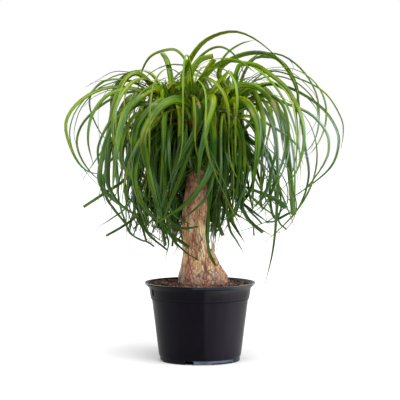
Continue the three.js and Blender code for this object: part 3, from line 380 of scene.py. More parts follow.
# Small low leaves and fine arching ones that the solids leave out
SMALL_LEAVES = {
    "head_left": (
        (0.3, 5, (-50, -55), (30, 10), False, ((-72, 420), (-70, 330), (-53, 283), (-38, 270),
         (-15, 259))),
        (0.2, 5.5, (-50, -60), (20, 10), True, ((-75, 400), (-74, 320), (-60, 270), (-34, 253),
         (-4, 255))),
        (0.2, 7.5, (-50, -55), (20, 10), True, ((-82, 400), (-84, 310), (-70, 258), (-49, 235),
         (-38, 228), (-21, 216))),
        (0.3, 10, (0, -70), (30, 10), False, ((-76, 462), (-137, 443), (-179, 401), (-192, 352),
         (-182, 325), (-158, 302), (-135, 285), (-112, 270))),
        (0.3, 5, (0, -45), (30, 10), True, ((-95, 458), (-171, 420), (-188, 359), (-179, 312),
         (-165, 291), (-152, 274), (-141, 261))),
        (0.3, 4, (10, -60), (30, 10), True, ((-95, 430), (-144, 373), (-156, 316), (-141, 261),
         (-135, 245), (-124, 236), (-110, 229), (-99, 226), (-87, 217))),
        (0.2, 4, (10, -50), (30, 10), False, ((-80, 420), (-114, 363), (-118, 306), (-112, 274),
         (-103, 251), (-91, 240), (-76, 230), (-61, 225))),
        (0.2, 4.5, (10, -50), (30, 10), True, ((-76, 420), (-118, 344), (-116, 274), (-101, 244),
         (-87, 230), (-74, 220), (-63, 211))),
        (0.2, 7.5, (10, -65), (20, 10), True, ((-61, 420), (-80, 373), (-78, 325), (-74, 283),
         (-70, 242), (-66, 219))),
        (0.2, 7, (10, -50), (20, 10), True, ((-76, 420), (-99, 373), (-101, 325), (-103, 283),
         (-101, 257))),
        (0.4, 9.5, (-20, -85), (30, 15), False, ((-80, 454), (-101, 411), (-99, 363), (-87, 312),
         (-80, 283), (-76, 261))),
        (0.2, 4, (20, -30), (30, 10), False, ((-86, 420), (-129, 354), (-137, 306), (-129, 280),
         (-116, 249))),
        (0.2, 4, (20, -30), (30, 10), False, ((-95, 420), (-141, 354), (-141, 306), (-133, 270),
         (-125, 244))),
        (0.2, 4, (10, -60), (30, 10), True, ((-46, 373), (-49, 297), (-61, 266), (-74, 254),
         (-93, 257))),
        (0.2, 4.5, (0, -75), (30, 10), False, ((-53, 382), (-70, 306), (-66, 253), (-60, 226),
         (-62, 211), (-66, 194))),
        (0.2, 3, (0, -60), (30, 10), False, ((-42, 363), (-49, 297), (-53, 249), (-46, 226),
         (-44, 215), (-52, 200))),
        (0.3, 5, (10, -70), (30, 10), True, ((-48, 401), (-61, 348), (-82, 316), (-97, 295),
         (-108, 282))),
        (0.3, 5, (10, -60), (30, 10), False, ((-91, 430), (-137, 373), (-141, 321), (-122, 297),
         (-104, 283), (-80, 263))),
        (0.9, 1.8, (0, 20), (10, 10), False, ((-95, 534), (-118, 547), (-142, 550), (-156, 551),
         (-170, 548), (-183, 541), (-194, 534), (-217, 521))),
        (0.8, 1.8, (0, -10), (10, 10), False, ((-95, 523), (-120, 532), (-145, 535), (-162, 535),
         (-180, 534), (-197, 531), (-209, 527))),
        (0.8, 2.6, (0, -20), (10, 10), False, ((-95, 519), (-124, 530), (-153, 532), (-170, 528),
         (-190, 520), (-208, 504), (-228, 477), (-238, 445), (-239, 428), (-235, 409))),
        (0.7, 1.8, (0, 0), (10, 10), False, ((-95, 508), (-133, 521), (-170, 515), (-186, 510),
         (-200, 503), (-210, 495), (-221, 483))),
    ),
    "head_front": (
        (0.2, 9.5, (0, 20), (20, 10), True, ((19, 401), (23, 344), (23, 301), (21, 264))),
        (0.2, 5.2, (-64, -76), (10, 5), True, ((23, 401), (17, 325), (16, 259), (15, 230),
         (16, 209), (21, 196), (30, 181))),
    ),
    "head_right": (
        (0.3, 8, (-55, -95), (30, 10), False, ((24, 440), (28, 395), (24, 350), (13, 314),
         (-8, 290), (-34, 270))),
        (0.3, 4, (-30, -20), (20, 10), False, ((50, 400), (50, 310), (44, 268), (35, 251),
         (27.6, 240), (26, 210))),
        (0.3, 4.5, (-40, -30), (20, 10), False, ((75, 400), (76, 320), (70, 285), (59, 269),
         (44, 246))),
        (0.3, 4, (10, -50), (20, 10), True, ((49, 420), (65, 363), (78, 310), (95, 285),
         (106, 274), (118, 261))),
        (0.3, 4.5, (10, -40), (20, 10), False, ((68, 439), (118, 401), (139, 354), (135, 316),
         (125, 295), (109, 275))),
        (0.3, 5.5, (10, -40), (20, 10), True, ((76, 439), (129, 382), (133, 316), (137, 283),
         (146, 270), (160, 276), (173, 283))),
        (0.3, 4, (10, -40), (20, 10), True, ((76, 439), (133, 382), (144, 306), (150, 266),
         (165, 250))),
        (0.3, 4, (20, -30), (20, 10), True, ((76, 439), (137, 373), (154, 306), (150, 276),
         (142, 266), (125, 264))),
        (0.1, 8, (0, 10), (20, 10), True, ((28, 401), (32, 344), (36, 301), (36, 261))),
        (0.1, 7, (0, 0), (20, 10), True, ((38, 401), (44, 340), (46, 301), (42, 268))),
        (0.2, 4, (10, -50), (20, 10), True, ((42, 401), (49, 335), (59, 297), (66, 282),
         (76, 274))),
        (0.2, 4.5, (10, -50), (20, 10), True, ((57, 411), (87, 354), (95, 312), (101, 289))),
        (0.2, 5, (10, -50), (20, 10), True, ((68, 420), (118, 373), (118, 335), (115, 306),
         (119, 290))),
        (0.3, 9, (10, -70), (20, 10), False, ((68, 430), (125, 401), (135, 358), (125, 321),
         (112, 302), (99, 289))),
        (0.3, 7.5, (0, -85), (20, 10), False, ((53, 420), (89, 378), (84, 333), (70, 295),
         (57, 276), (42, 266))),
        (0.9, 2, (0, 20), (10, 10), False, ((76, 549), (99, 576), (118, 585), (133, 586),
         (146, 584), (160, 579), (171, 571), (177, 559), (173, 546))),
        (0.9, 1.8, (0, -20), (10, 10), False, ((95, 534), (133, 553), (174, 548), (201, 526),
         (218, 506), (228, 483))),
        (0.8, 2.8, (0, -40), (10, 10), False, ((95, 527), (137, 542), (175, 534), (201, 515),
         (218, 494), (225, 473), (225, 454), (220, 428), (211, 403))),
        (0.8, 1.8, (0, -20), (10, 10), False, ((95, 515), (142, 527), (190, 511), (220, 481),
         (222, 461), (215, 445), (203, 431))),
        (0.1, 3, (10, -50), (10, 10), False, ((42, 401), (32, 325), (29, 261), (26, 238),
         (27, 225), (28, 209))),
        (0.1, 3, (10, -52), (10, 10), False, ((76, 401), (65, 325), (49, 287), (40, 261),
         (34, 247), (27, 238))),
        (0.1, 3.2, (10, -40), (10, 10), False, ((87, 401), (80, 325), (68, 291), (57, 266),
         (46, 245))),
        (0.2, 2.2, (0, -50), (10, 10), False, ((87, 420), (156, 354), (167, 306), (152, 283),
         (133, 268), (106, 257), (86, 250), (65, 245))),
        (0.2, 2.8, (0, -50), (10, 10), False, ((42, 401), (38, 344), (42, 310), (57, 290),
         (76, 284), (101, 285))),
        (0.2, 2.2, (0, -40), (10, 10), False, ((95, 430), (162, 373), (177, 325), (184, 295),
         (177, 268), (162, 249), (144, 243))),
        (0.2, 2.2, (0, -40), (10, 10), False, ((87, 420), (129, 344), (137, 306), (156, 293),
         (180, 282), (200, 272))),
    ),
}


# Draws and small sums


class Draws:
    """Even draws between 0 and 1 that come out alike on every run."""

    def __init__(self, seed):
        self.state = seed * DRAW_SPACING + DRAW_START
        for _ in range(DRAWS_SKIPPED):
            self.next()

    def next(self):
        self.state = self.state * DRAW_FACTOR % DRAW_RANGE
        return self.state / DRAW_RANGE

    def either(self, spread):
        return spread * (2 * self.next() - 1)

    def between(self, low, high):
        return mixed(low, high, self.next())


def mixed(low, high, share):
    """The value at a share of the way from low to high."""
    return low + (high - low) * share


def smooth(low, high, value):
    """0 below low, 1 above high, and a smooth rise between."""
    share = min(1, max(0, (value - low) / (high - low)))
    return share * share * (3 - 2 * share)


# Objects and edit mode


def clear_selection():
    """Leaves edit mode and selects nothing."""
    active = bpy.context.view_layer.objects.active
    if active is not None and active.mode != "OBJECT":
        bpy.ops.object.mode_set(mode="OBJECT")
    bpy.ops.object.select_all(action="DESELECT")


def select_only(piece):
    clear_selection()
    piece.select_set(True)
    bpy.context.view_layer.objects.active = piece


def start_edit(piece):
    select_only(piece)
    bpy.ops.object.mode_set(mode="EDIT")
    bpy.ops.mesh.select_all(action="SELECT")


def end_edit():
    bpy.ops.object.mode_set(mode="OBJECT")


def settle(piece):
    """Moves the piece's place, turn and scale into its mesh."""
    select_only(piece)
    bpy.ops.object.transform_apply(location=True, rotation=True, scale=True)
    return piece


def apply_modifier(piece, kind, **values):
    """Adds one modifier with these values and applies it."""
    modifier = piece.modifiers.new(kind.title(), kind)
    for name, value in values.items():
        setattr(modifier, name, value)
    select_only(piece)
    bpy.ops.object.modifier_apply(modifier=modifier.name)
    return piece


def combine(piece, other, operation):
    """Adds the other shape to the piece, or carves it out, and removes it."""
    apply_modifier(piece, "BOOLEAN", operation=operation, object=other, solver="EXACT")
    bpy.data.objects.remove(other)
    return piece


def joined(name, pieces):
    """All pieces as one object with this name."""
    clear_selection()
    for piece in pieces:
        piece.select_set(True)
    bpy.context.view_layer.objects.active = pieces[0]
    if len(pieces) > 1:
        bpy.ops.object.join()
    pieces[0].name = name
    pieces[0].data.name = name
    return pieces[0]


def spun(name, profile, steps):
    """A closed shape turned about the pot's axis from (radius, height) points in metres."""
    clear_selection()
    bpy.ops.mesh.primitive_plane_add(size=MM, location=(0, 0, 0))
    piece = bpy.context.object
    piece.name = name
    start_edit(piece)
    bpy.ops.mesh.merge(type="CENTER")
    bpy.ops.mesh.select_all(action="SELECT")
    bpy.ops.transform.translate(value=(profile[0][0], 0, profile[0][1]))
    for (radius, height), (next_radius, next_height) in zip(profile, profile[1:]):
        step = (next_radius - radius, 0, next_height - height)
        bpy.ops.mesh.extrude_vertices_move(TRANSFORM_OT_translate={"value": step})
    bpy.ops.mesh.select_all(action="SELECT")
    bpy.ops.mesh.spin(steps=steps, angle=FULL_TURN, center=(0, 0, 0), axis=(0, 0, 1))
    bpy.ops.mesh.select_all(action="SELECT")
    bpy.ops.mesh.remove_doubles(threshold=0.01 * MM)
    bpy.ops.mesh.normals_make_consistent(inside=False)
    end_edit()
    return piece


def shade_smooth(piece):
    select_only(piece)
    bpy.ops.object.shade_smooth()


def linked(name, data):
    """A new object of this mesh, lamp or camera, in the scene."""
    thing = bpy.data.objects.new(name, data)
    bpy.context.scene.collection.objects.link(thing)
    return thing


def drawn_out(name, rings, sides):
    """A closed limb: a disc at the first ring, extruded and scaled to each of the next.

    A ring is its middle and its half width, in metres, and all rings face the limb's run.
    """
    middles = [Vector(middle) for middle, _ in rings]
    lean = (middles[-1] - middles[0]).to_track_quat("Z", "Y").to_euler()
    clear_selection()
    bpy.ops.mesh.primitive_circle_add(
        vertices=sides, radius=rings[0][1], fill_type="NGON", location=middles[0], rotation=lean
    )
    piece = bpy.context.object
    piece.name = name
    settle(piece)
    start_edit(piece)
    for k in range(1, len(rings)):
        step = middles[k] - middles[k - 1]
        bpy.ops.mesh.extrude_region_move(TRANSFORM_OT_translate={"value": step})
        scale = rings[k][1] / rings[k - 1][1]
        bpy.ops.transform.resize(value=(scale, scale, scale), center_override=middles[k])
    bpy.ops.mesh.select_all(action="SELECT")
    bpy.ops.mesh.normals_make_consistent(inside=False)
    end_edit()
    return piece


def corners(mesh):
    """The mesh's points as rows of x, y and z."""
    flat = np.empty(len(mesh.vertices) * 3)
    mesh.vertices.foreach_get("co", flat)
    return flat.reshape(-1, 3)


def set_corners(mesh, points):
    mesh.vertices.foreach_set("co", np.ascontiguousarray(points).ravel())
    mesh.update()


def normals(mesh):
    flat = np.empty(len(mesh.vertices) * 3)
    mesh.vertices.foreach_get("normal", flat)
    return flat.reshape(-1, 3)


def set_value(mesh, name, values):
    """Stores one number for each point of the mesh."""
    layer = mesh.attributes.get(name) or mesh.attributes.new(name, "FLOAT", "POINT")
    layer.data.foreach_set("value", np.broadcast_to(values, len(mesh.vertices)).astype(np.float32))


def finish_piece(piece, material, slot, *nodes):
    """Gives the piece its material and its body, and hides the nodes that it stands for; slot is
    not used.
    """
    piece.data.materials.clear()
    piece.data.materials.append(material)
    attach(piece, BODY)
    if nodes:
        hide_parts(*nodes)


# Materials


class Finish:
    """A node material that is put together one step at a time, with its colour in base."""

    def __init__(self, name):
        self.material = bpy.data.materials.new(name)
        self.material.use_nodes = True
        self.tree = self.material.node_tree
        self.base = None

    def feed(self, socket, value):
        """Links the value to the socket, or sets it there."""
        if isinstance(value, bpy.types.NodeSocket):
            self.tree.links.new(value, socket)
        elif socket.type == "RGBA":
            socket.default_value = (*value[:3], 1)
        else:
            socket.default_value = value

    def node(self, kind, inputs=(), **values):
        made = self.tree.nodes.new("ShaderNode" + kind)
        for name, value in values.items():
            setattr(made, name, value)
        for name, value in dict(inputs).items():
            self.feed(made.inputs[name], value)
        return made

    def coordinates(self):
        return self.node("TexCoord").outputs["Object"]

    def place(self, scale=(1, 1, 1)):
        """Object coordinates, stretched by a scale for each axis."""
        inputs = {"Vector": self.coordinates(), "Scale": scale}
        return self.node("Mapping", inputs).outputs["Vector"]

    def along(self, axis):
        """One of the object coordinates."""
        return self.node("SeparateXYZ", {"Vector": self.coordinates()}).outputs[axis]

    def point(self, x, y, z):
        return self.node("CombineXYZ", {"X": x, "Y": y, "Z": z}).outputs["Vector"]

    def value(self, name):
        """A number stored on the piece's points."""
        return self.node("Attribute", attribute_name=name).outputs["Fac"]

    def clouds(self, vector, scale, detail=3, roughness=0.5):
        inputs = {"Vector": vector, "Scale": scale, "Detail": detail, "Roughness": roughness}
        return self.node("TexNoise", inputs).outputs["Fac"]

    def math(self, operation, *terms):
        made = self.node("Math", operation=operation)
        for socket, term in zip(made.inputs, terms):
            self.feed(socket, term)
        return made.outputs[0]

    def plus(self, *terms):
        return self.math("ADD", *terms)

    def times(self, value, *factors):
        """The value times all of the factors."""
        for factor in factors:
            value = self.math("MULTIPLY", value, factor)
        return value

    def vectors(self, operation, *terms):
        made = self.node("VectorMath", dict(enumerate(terms)), operation=operation)
        return made.outputs["Value" if operation == "LENGTH" else "Vector"]

    def rise(self, value, low, high, start=0, end=1):
        """The value taken from low..high to start..end, and held there."""
        inputs = {"Value": value, "From Min": low, "From Max": high, "To Min": start, "To Max": end}
        return self.node("MapRange", inputs, interpolation_type="SMOOTHSTEP").outputs["Result"]

    def band(self, value, start, end):
        """1 from the start to the end, each a pair of outer and inner edge, and 0 outside."""
        return self.times(self.rise(value, *start), self.rise(value, *end))

    def colours(self, share, low, high, blend="MIX"):
        made = self.node("Mix", data_type="RGBA", blend_type=blend)
        for index, value in ((0, share), (6, low), (7, high)):
            self.feed(made.inputs[index], value)
        return made.outputs[2]

    def paint(self, share, colour, blend="MIX"):
        """Lays a share of this colour over the base."""
        self.base = self.colours(share, self.base, colour, blend)

    def lighten(self, factor):
        """Makes the base lighter or darker by a factor."""
        inputs = {"Red": factor, "Green": factor, "Blue": factor}
        self.paint(1, self.node("CombineColor", inputs).outputs["Color"], "MULTIPLY")

    def relief(self, height, distance, strength=1, under=None):
        inputs = {"Height": height, "Distance": distance, "Strength": strength}
        if under is not None:
            inputs["Normal"] = under
        return self.node("Bump", inputs).outputs["Normal"]

    def done(self, **inputs):
        surface = self.tree.nodes["Principled BSDF"]
        self.feed(surface.inputs["Base Color"], self.base)
        for name, value in inputs.items():
            self.feed(surface.inputs[name.replace("_", " ")], value)
        return self.material


def pot_plastic(settings):
    """Satin charcoal plastic, scuffed and dusty, with a paler lip, and painted light and shadow."""
    finish = Finish("pot_plastic")
    height, side = finish.along("Z"), finish.along("X")
    outward = finish.math("ABSOLUTE", side)
    dust = finish.clouds(finish.place(), 26, 5, 0.62)
    scratches = finish.clouds(finish.place((60, 60, 900)), 1, 4, 0.6)
    light_patchiness = finish.clouds(finish.place((38, 38, 3)), 1, 3, 0.6)
    dusted = finish.rise(dust, 0.35, 0.75, 0, 0.5)
    finish.base = finish.colours(dusted, settings.colour, settings.dust)

    # Painted light from the right: a paler colour over the right side, most on the collar, in
    # patches
    painted_side_light = finish.plus(
        finish.rise(side, 0.004, 0.014, 0, 0.38), finish.rise(side, 0.020, 0.072, 0, 0.62)
    )
    painted_side_light = finish.times(painted_side_light, finish.rise(light_patchiness, 0.3, 0.7, 0.72, 1.15))
    collar = finish.times(
        finish.rise(height, *COLLAR_HEIGHTS, 0, 0.5), finish.rise(side, 0.028, 0.048)
    )
    painted_side_light = finish.times(finish.plus(painted_side_light, collar), finish.rise(side, 0.076, 0.087, 1, 0.5))
    finish.paint(painted_side_light, settings.painted_side_light)
    # Painted highlight: the collar paler towards its top, right of the front
    collar_highlight = finish.times(
        finish.rise(height, *SHINE_HEIGHTS, 0, 0.045), finish.rise(side, 0, 0.030)
    )
    finish.paint(collar_highlight, settings.highlight_colour)

    # Painted shadow under the lip and in the crease under the collar; painted highlight on its
    # ledge
    lip_shadow = finish.times(
        finish.band(height, *UNDER_LIP), finish.rise(side, 0.070, 0.050, 0, 0.75)
    )
    finish.paint(lip_shadow, BLACK)
    crease = finish.times(
        finish.rise(height, *CREASE_FOOT, 0, 0.6), finish.rise(height, *CREASE_TOP)
    )
    finish.paint(crease, BLACK)
    ledge = finish.times(
        finish.band(height, *LEDGE), finish.rise(side, 0.010, 0.062, 0.12, 0.7)
    )
    finish.paint(ledge, settings.painted_side_light)

    # The lip: bluer right of the front, with painted highlights to the right, at its ends and on
    # top
    lip = finish.rise(height, *LIP_HEIGHTS)
    right_of_front = finish.rise(side, -0.018, -0.012, 0.06, 1)
    patchy = finish.rise(finish.clouds(finish.place(), 14, 4), 0.38, 0.62, 0.5, 1)
    finish.paint(finish.times(lip, patchy, right_of_front), settings.lip_colour)
    # Painted highlight: the lip paler towards the right
    lip_lit_right = finish.times(lip, finish.rise(side, 0.045, 0.075, 0, 0.11))
    finish.paint(lip_lit_right, settings.highlight_colour)
    # Painted reflection at the lip's left and right ends
    ends = finish.times(
        finish.rise(outward, 0.094, 0.104, 0, 0.7), finish.rise(height, 0.1455, 0.1475)
    )
    finish.paint(ends, settings.highlight_colour)
    # Painted highlight along the lip's top edge, strongest towards the left and right
    edge = finish.times(
        finish.rise(height, 0.1492, 0.1497), finish.rise(outward, 0.040, 0.090, 0.12, 1)
    )
    finish.paint(edge, settings.highlight_colour)

    # The foot ring, paler and bluer from just left of the front round to the right, and splashes
    # over it
    foot = finish.times(
        finish.rise(height, 0.0076, 0.0068), finish.rise(right_of_front, 0.3, 1, 0.03, 1),
        finish.rise(side, 0.064, 0.060, 0.1, 1), 0.85,
    )
    finish.paint(foot, settings.foot_colour)
    splash = finish.times(
        finish.rise(height, 0.03, 0.008, 0, 0.5), finish.rise(dust, 0.45, 0.7)
    )
    finish.paint(splash, settings.dust)

    scuffed = finish.rise(scratches, 0.3, 0.75, 0.30, 0.44)
    roughness = finish.plus(scuffed, finish.times(crease, 0.5))
    bump = finish.relief(scratches, 0.05 * MM, 0.35)
    bump = finish.relief(finish.clouds(finish.place(), 900, 2), 0.04 * MM, 0.3, bump)
    return finish.done(Roughness=roughness, Normal=bump, Specular_IOR_Level=0.06)


def potting_mix(settings, name, chips):
    """Dark crumbly mix, or the chips in it, which differ in tone from one to the next."""
    finish = Finish(name)
    grain = finish.clouds(finish.place(), 900 if chips else 420, 6, 0.7)
    patches = finish.rise(finish.clouds(finish.place(), 60, 4, 0.6), 0.35, 0.65)
    finish.base = finish.colours(patches, settings.dark, settings.colour)
    if chips:
        finish.paint(finish.value("tone"), settings.chip_colour)
    finish.paint(finish.rise(grain, 0.3, 0.75, 0, 0.72), settings.dark, "MULTIPLY")
    bump = finish.relief(grain, 0.6 * MM, 0.8)
    return finish.done(Roughness=0.92, Normal=bump, Specular_IOR_Level=0.15)


def bark_finish(settings):
    """Tan fibrous bark with dark fissures, redder at the top and greyer at the base, with painted
    shade.
    """
    finish = Finish("bark")
    height = finish.along("Z")
    coordinates = finish.coordinates()
    fibres = finish.clouds(finish.place((380, 380, 60)), 1, 6, 0.7)
    streaks = finish.clouds(finish.place((160, 160, 20)), 1, 4, 0.55)
    patches = finish.clouds(finish.place((38, 38, 20)), 1, 3)

    # Cracks run between long cells, which a noise bends
    bend = finish.node("TexNoise", {"Vector": coordinates, "Scale": 90, "Detail": 2})
    bend = finish.vectors("MULTIPLY", bend.outputs["Color"], (1.2, 1.2, 1.2))
    cells = finish.vectors("ADD", finish.place((190, 190, 34)), bend)
    cells = finish.node("TexVoronoi", {"Vector": cells, "Scale": 1}, feature="DISTANCE_TO_EDGE")
    cracks = finish.rise(cells.outputs["Distance"], 0.16, 0.03)

    finish.base = finish.colours(finish.rise(streaks, 0.40, 0.60), settings.red, settings.colour)
    finish.paint(finish.rise(patches, 0.48, 0.64, 0, 0.8), settings.pale)

    # A pale place in front where the bark has peeled
    middle = finish.vectors("SUBTRACT", coordinates, PEELED_MIDDLE)
    middle = finish.vectors("LENGTH", finish.vectors("MULTIPLY", middle, PEELED_SCALE))
    peeled = finish.times(
        finish.rise(middle, 1.3, 0.6), finish.rise(streaks, 0.35, 0.6, 0.3, 1), 0.85
    )
    finish.paint(peeled, settings.pale)

    finish.paint(finish.rise(height, 0.23, 0.36, 0, 0.8), settings.red)
    scaly = finish.times(
        finish.rise(height, 0.19, 0.15), finish.rise(patches, 0.4, 0.56, 0.35, 0.95)
    )
    finish.paint(scaly, settings.base_colour)
    # Darker deep in fissures and between scales: partly the bark's own colour, partly painted shade
    finish.paint(finish.rise(finish.value("furrow"), 0.15, 0.9, 0, 0.9), settings.dark)
    torn = finish.rise(finish.clouds(finish.place(), 45, 3), 0.40, 0.58, 0.25, 0.9)
    finish.paint(finish.times(cracks, torn), settings.dark)
    finish.lighten(finish.rise(fibres, 0.25, 0.75, 0.58, 1.52))
    # Painted shadow on the bark just above the potting mix
    finish.paint(finish.times(finish.rise(height, 0.1525, 0.1475), 0.75), settings.dark)
    bump = finish.relief(fibres, 0.5 * MM, 0.7)
    bump = finish.relief(streaks, 0.9 * MM, 0.5, bump)
    return finish.done(Roughness=0.86, Normal=bump)


def leaf_finish(settings):
    """Green blade, veined lengthways, pale at its edges, brown at its base and cut or dry tip."""
    finish = Finish("leaf")
    uv = finish.node("UVMap", uv_map="blade").outputs["UV"]
    blade = finish.node("SeparateXYZ", {"Vector": uv})
    across, along = blade.outputs["X"], blade.outputs["Y"]
    tone = finish.value("tone")
    spread = finish.times(across, finish.times(finish.value("broad"), 1.4))
    height, side = finish.along("Z"), finish.along("X")
    outward = finish.math("ABSOLUTE", side)

    # Each blade's green: its tone and random patches, with painted light and painted shade by place
    patches = finish.clouds(finish.place(), 22, 2)
    tone_and_light = finish.plus(tone, finish.rise(patches, 0.3, 0.7, -0.2, 0.2))
    # Lighter high up: partly younger blades, partly painted light
    tone_and_light = finish.plus(tone_and_light, finish.rise(height, 0.30, 0.58, -0.3, 0.2))
    # Painted light: blades lighter far out to the left and right
    tone_and_light = finish.plus(tone_and_light, finish.rise(outward, 0.15, 0.24, 0, 0.3))
    # Painted shade: blades darker deep inside the crown
    inside = finish.times(
        finish.rise(outward, 0.09, 0.03, 0, 0.35), finish.rise(height, 0.49, 0.44)
    )
    tone_and_light = finish.math("SUBTRACT", tone_and_light, inside)
    finish.base = finish.colours(finish.rise(tone_and_light, 0, 1), settings.deep, settings.fresh)

    # Its lean to blue or yellow, and a painted sheen that stands for reflections, hanging and far
    # out
    hue_at = finish.point(finish.times(tone, 40), finish.times(along, 2.2), across)
    hue = finish.rise(finish.clouds(hue_at, 1, 2), 0.36, 0.64)
    finish.paint(1, finish.colours(hue, BLUER, YELLOWER), "MULTIPLY")
    painted_sheen = finish.times(
        finish.rise(finish.clouds(hue_at, 1.3, 1), 0.5, 0.66, 0, 0.36),
        finish.rise(along, 0.15, 0.45),
    )
    painted_sheen = finish.plus(painted_sheen, finish.rise(outward, 0.09, 0.18, 0, 0.16))
    finish.paint(painted_sheen, settings.painted_sheen)
    # Painted reflection: a sky-grey sheen on hanging blades at the right
    painted_right_sheen = finish.times(
        finish.rise(finish.clouds(hue_at, 1.1, 1), 0.54, 0.44, 0, 0.6),
        finish.rise(side, 0.09, 0.15), finish.band(height, (0.34, 0.38), (0.49, 0.45)),
    )
    finish.paint(painted_right_sheen, settings.painted_right_sheen)

    # Margins, veins and streaks along the blade, and painted light making blades lighter to the
    # right
    edge = finish.times(finish.math("ABSOLUTE", finish.math("SUBTRACT", across, 0.5)), 2)
    finish.paint(finish.rise(edge, 0.72, 1.0, 0, 0.3), settings.margin)
    veins_at = finish.point(spread, finish.times(along, 2), finish.times(tone, 60))
    veins = finish.clouds(veins_at, 1, 3, 0.6)
    streaks_at = finish.point(
        finish.times(spread, 0.22), finish.times(along, 3), finish.times(tone, 90)
    )
    streaks = finish.clouds(streaks_at, 1, 2)
    finish.lighten(finish.times(
        finish.rise(veins, 0.3, 0.7, 0.75, 1.2), finish.rise(streaks, 0.32, 0.68, 0.58, 1.44),
        finish.rise(side, 0.05, 0.18, 1, 1.16),
    ))

    # Dry scars near the top of the stems, brown feet of old blades and dry tips
    scars_at = finish.point(finish.times(tone, 120), finish.times(along, 8), across)
    scars = finish.rise(finish.clouds(scars_at, 1, 2), 0.62, 0.7, 0, 0.65)
    high = finish.band(height, (0.44, 0.47), (0.55, 0.52))
    finish.paint(finish.times(scars, high), settings.scar)
    finish.paint(finish.times(finish.rise(along, 0.07, 0.01), finish.value("old")), settings.dry)
    finish.paint(finish.times(finish.rise(along, 0.965, 0.995), finish.value("dry")), settings.dry)
    bump = finish.relief(veins, 0.25 * MM, 0.5)
    return finish.done(Roughness=0.33, Specular_IOR_Level=0.13, Normal=bump)


# Settings that a user may change


def size_property(name, description, default):
    return bpy.props.FloatProperty(
        name=name, description=description, default=default, min=0,
        subtype="DISTANCE", unit="LENGTH",
    )


def colour_property(name, description, default):
    return bpy.props.FloatVectorProperty(
        name=name, description=description, default=default, size=3, min=0, max=1,
        subtype="COLOR",
    )


def count_property(name, description, default):
    return bpy.props.IntProperty(name=name, description=description, default=default, min=0)


def strength_property(name, description, default):
    return bpy.props.FloatProperty(name=name, description=description, default=default, min=0)


class PotSettings(bpy.types.PropertyGroup):
    """Sizes and colours of the nursery pot."""

    rim_radius: size_property("Rim radius", "Radius outside the lip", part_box("pot")[1].x)
    height: size_property("Height", "Height of the lip above the floor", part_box("pot")[1].z)
    wall: size_property("Wall", "Thickness of the lip", 1.6 * MM)
    foot_gap: size_property("Foot gap", "Width of each gap in the foot ring", 16 * MM)
    colour: colour_property("Colour", "Charcoal of the clean plastic", (0.0028, 0.0020, 0.0052))
    dust: colour_property("Dust", "Colour where it is dusty", (0.0066, 0.0058, 0.0092))
    # Painted light: the paler colour that stands for light from the right on the side and collar
    painted_side_light: colour_property("Film", "Film of dust on one side", (0.026, 0.0235, 0.031))
    # Bluer colour of the lip from just left of the front round to the right
    lip_colour: colour_property("Lip colour", "Colour of the worn lip", (0.023, 0.031, 0.042))
    # Painted highlight colour of the lip's edges and ends and of the top of the collar
    highlight_colour: colour_property("Edge colour", "The lip's bare top edge", (0.30, 0.34, 0.34))
    # Paler blue-grey of the foot ring from just left of the front round to the right
    foot_colour: colour_property("Foot colour", "The scuffed foot ring", (0.15, 0.19, 0.25))


class MixSettings(bpy.types.PropertyGroup):
    """Relief, chips and colours of the potting mix."""

    relief: size_property("Relief", "How far lumps stand out of the mix", 2.6 * MM)
    chips: count_property("Chips", "How many chips lie on top", 760)
    colour: colour_property("Colour", "Brown of the dry crumbs", (0.20, 0.098, 0.070))
    dark: colour_property("Dark", "Colour between the crumbs", (0.018, 0.009, 0.007))
    chip_colour: colour_property("Chip colour", "Tan of the palest chips", (0.44, 0.27, 0.21))


class TrunkSettings(bpy.types.PropertyGroup):
    """Relief and colours of the trunk."""

    fissure: size_property("Fissure", "Depth of the largest fissures", 1.7 * MM)
    grain: size_property("Grain", "Edge of the cells that the skin is remeshed to", 1.15 * MM)
    colour: colour_property("Colour", "Tan of the bark", (0.70, 0.43, 0.21))
    pale: colour_property("Pale", "Palest patches", (0.80, 0.66, 0.39))
    red: colour_property("Red", "Red-brown bark towards the top", (0.49, 0.20, 0.115))
    base_colour: colour_property("Base", "Grey-mauve scales at the base", (0.37, 0.26, 0.24))
    # Also the painted shade deep in the fissures and the painted shadow at the trunk's foot
    dark: colour_property("Fissures", "Colour deep in the fissures", (0.16, 0.058, 0.030))


class LeafSettings(bpy.types.PropertyGroup):
    """Shape and colours of the leaves."""

    channel: bpy.props.FloatProperty(
        name="Channel", description="Depth of a blade's channel, as a share of its width",
        default=0.09, min=0, max=0.5, subtype="FACTOR",
    )
    inner: count_property("Inner leaves", "Old leaves inside each head", 26)
    sheaths: count_property("Sheaths", "Leaf bases round each stem", 34)
    fresh: colour_property("Fresh", "Yellow-green of young blades", (0.222, 0.315, 0.004))
    deep: colour_property("Deep", "Blue-green of old blades", (0.029, 0.070, 0.006))
    margin: colour_property("Margin", "Pale edges", (0.18, 0.28, 0.02))
    # Painted sheen: reflection of the pale surround on hanging blades and far out
    painted_sheen: colour_property("Silver", "Bloom on hanging blades", (0.14, 0.27, 0.13))
    # Painted reflection: sky-grey sheen on hanging blades at the right
    painted_right_sheen: colour_property("Glaze", "Sky-grey bloom at the right", (0.34, 0.46, 0.44))
    scar: colour_property("Scar", "Dry folds near the top of the stems", (0.40, 0.33, 0.18))
    dry: colour_property("Dry", "Brown bases and dry tips", (0.24, 0.11, 0.035))


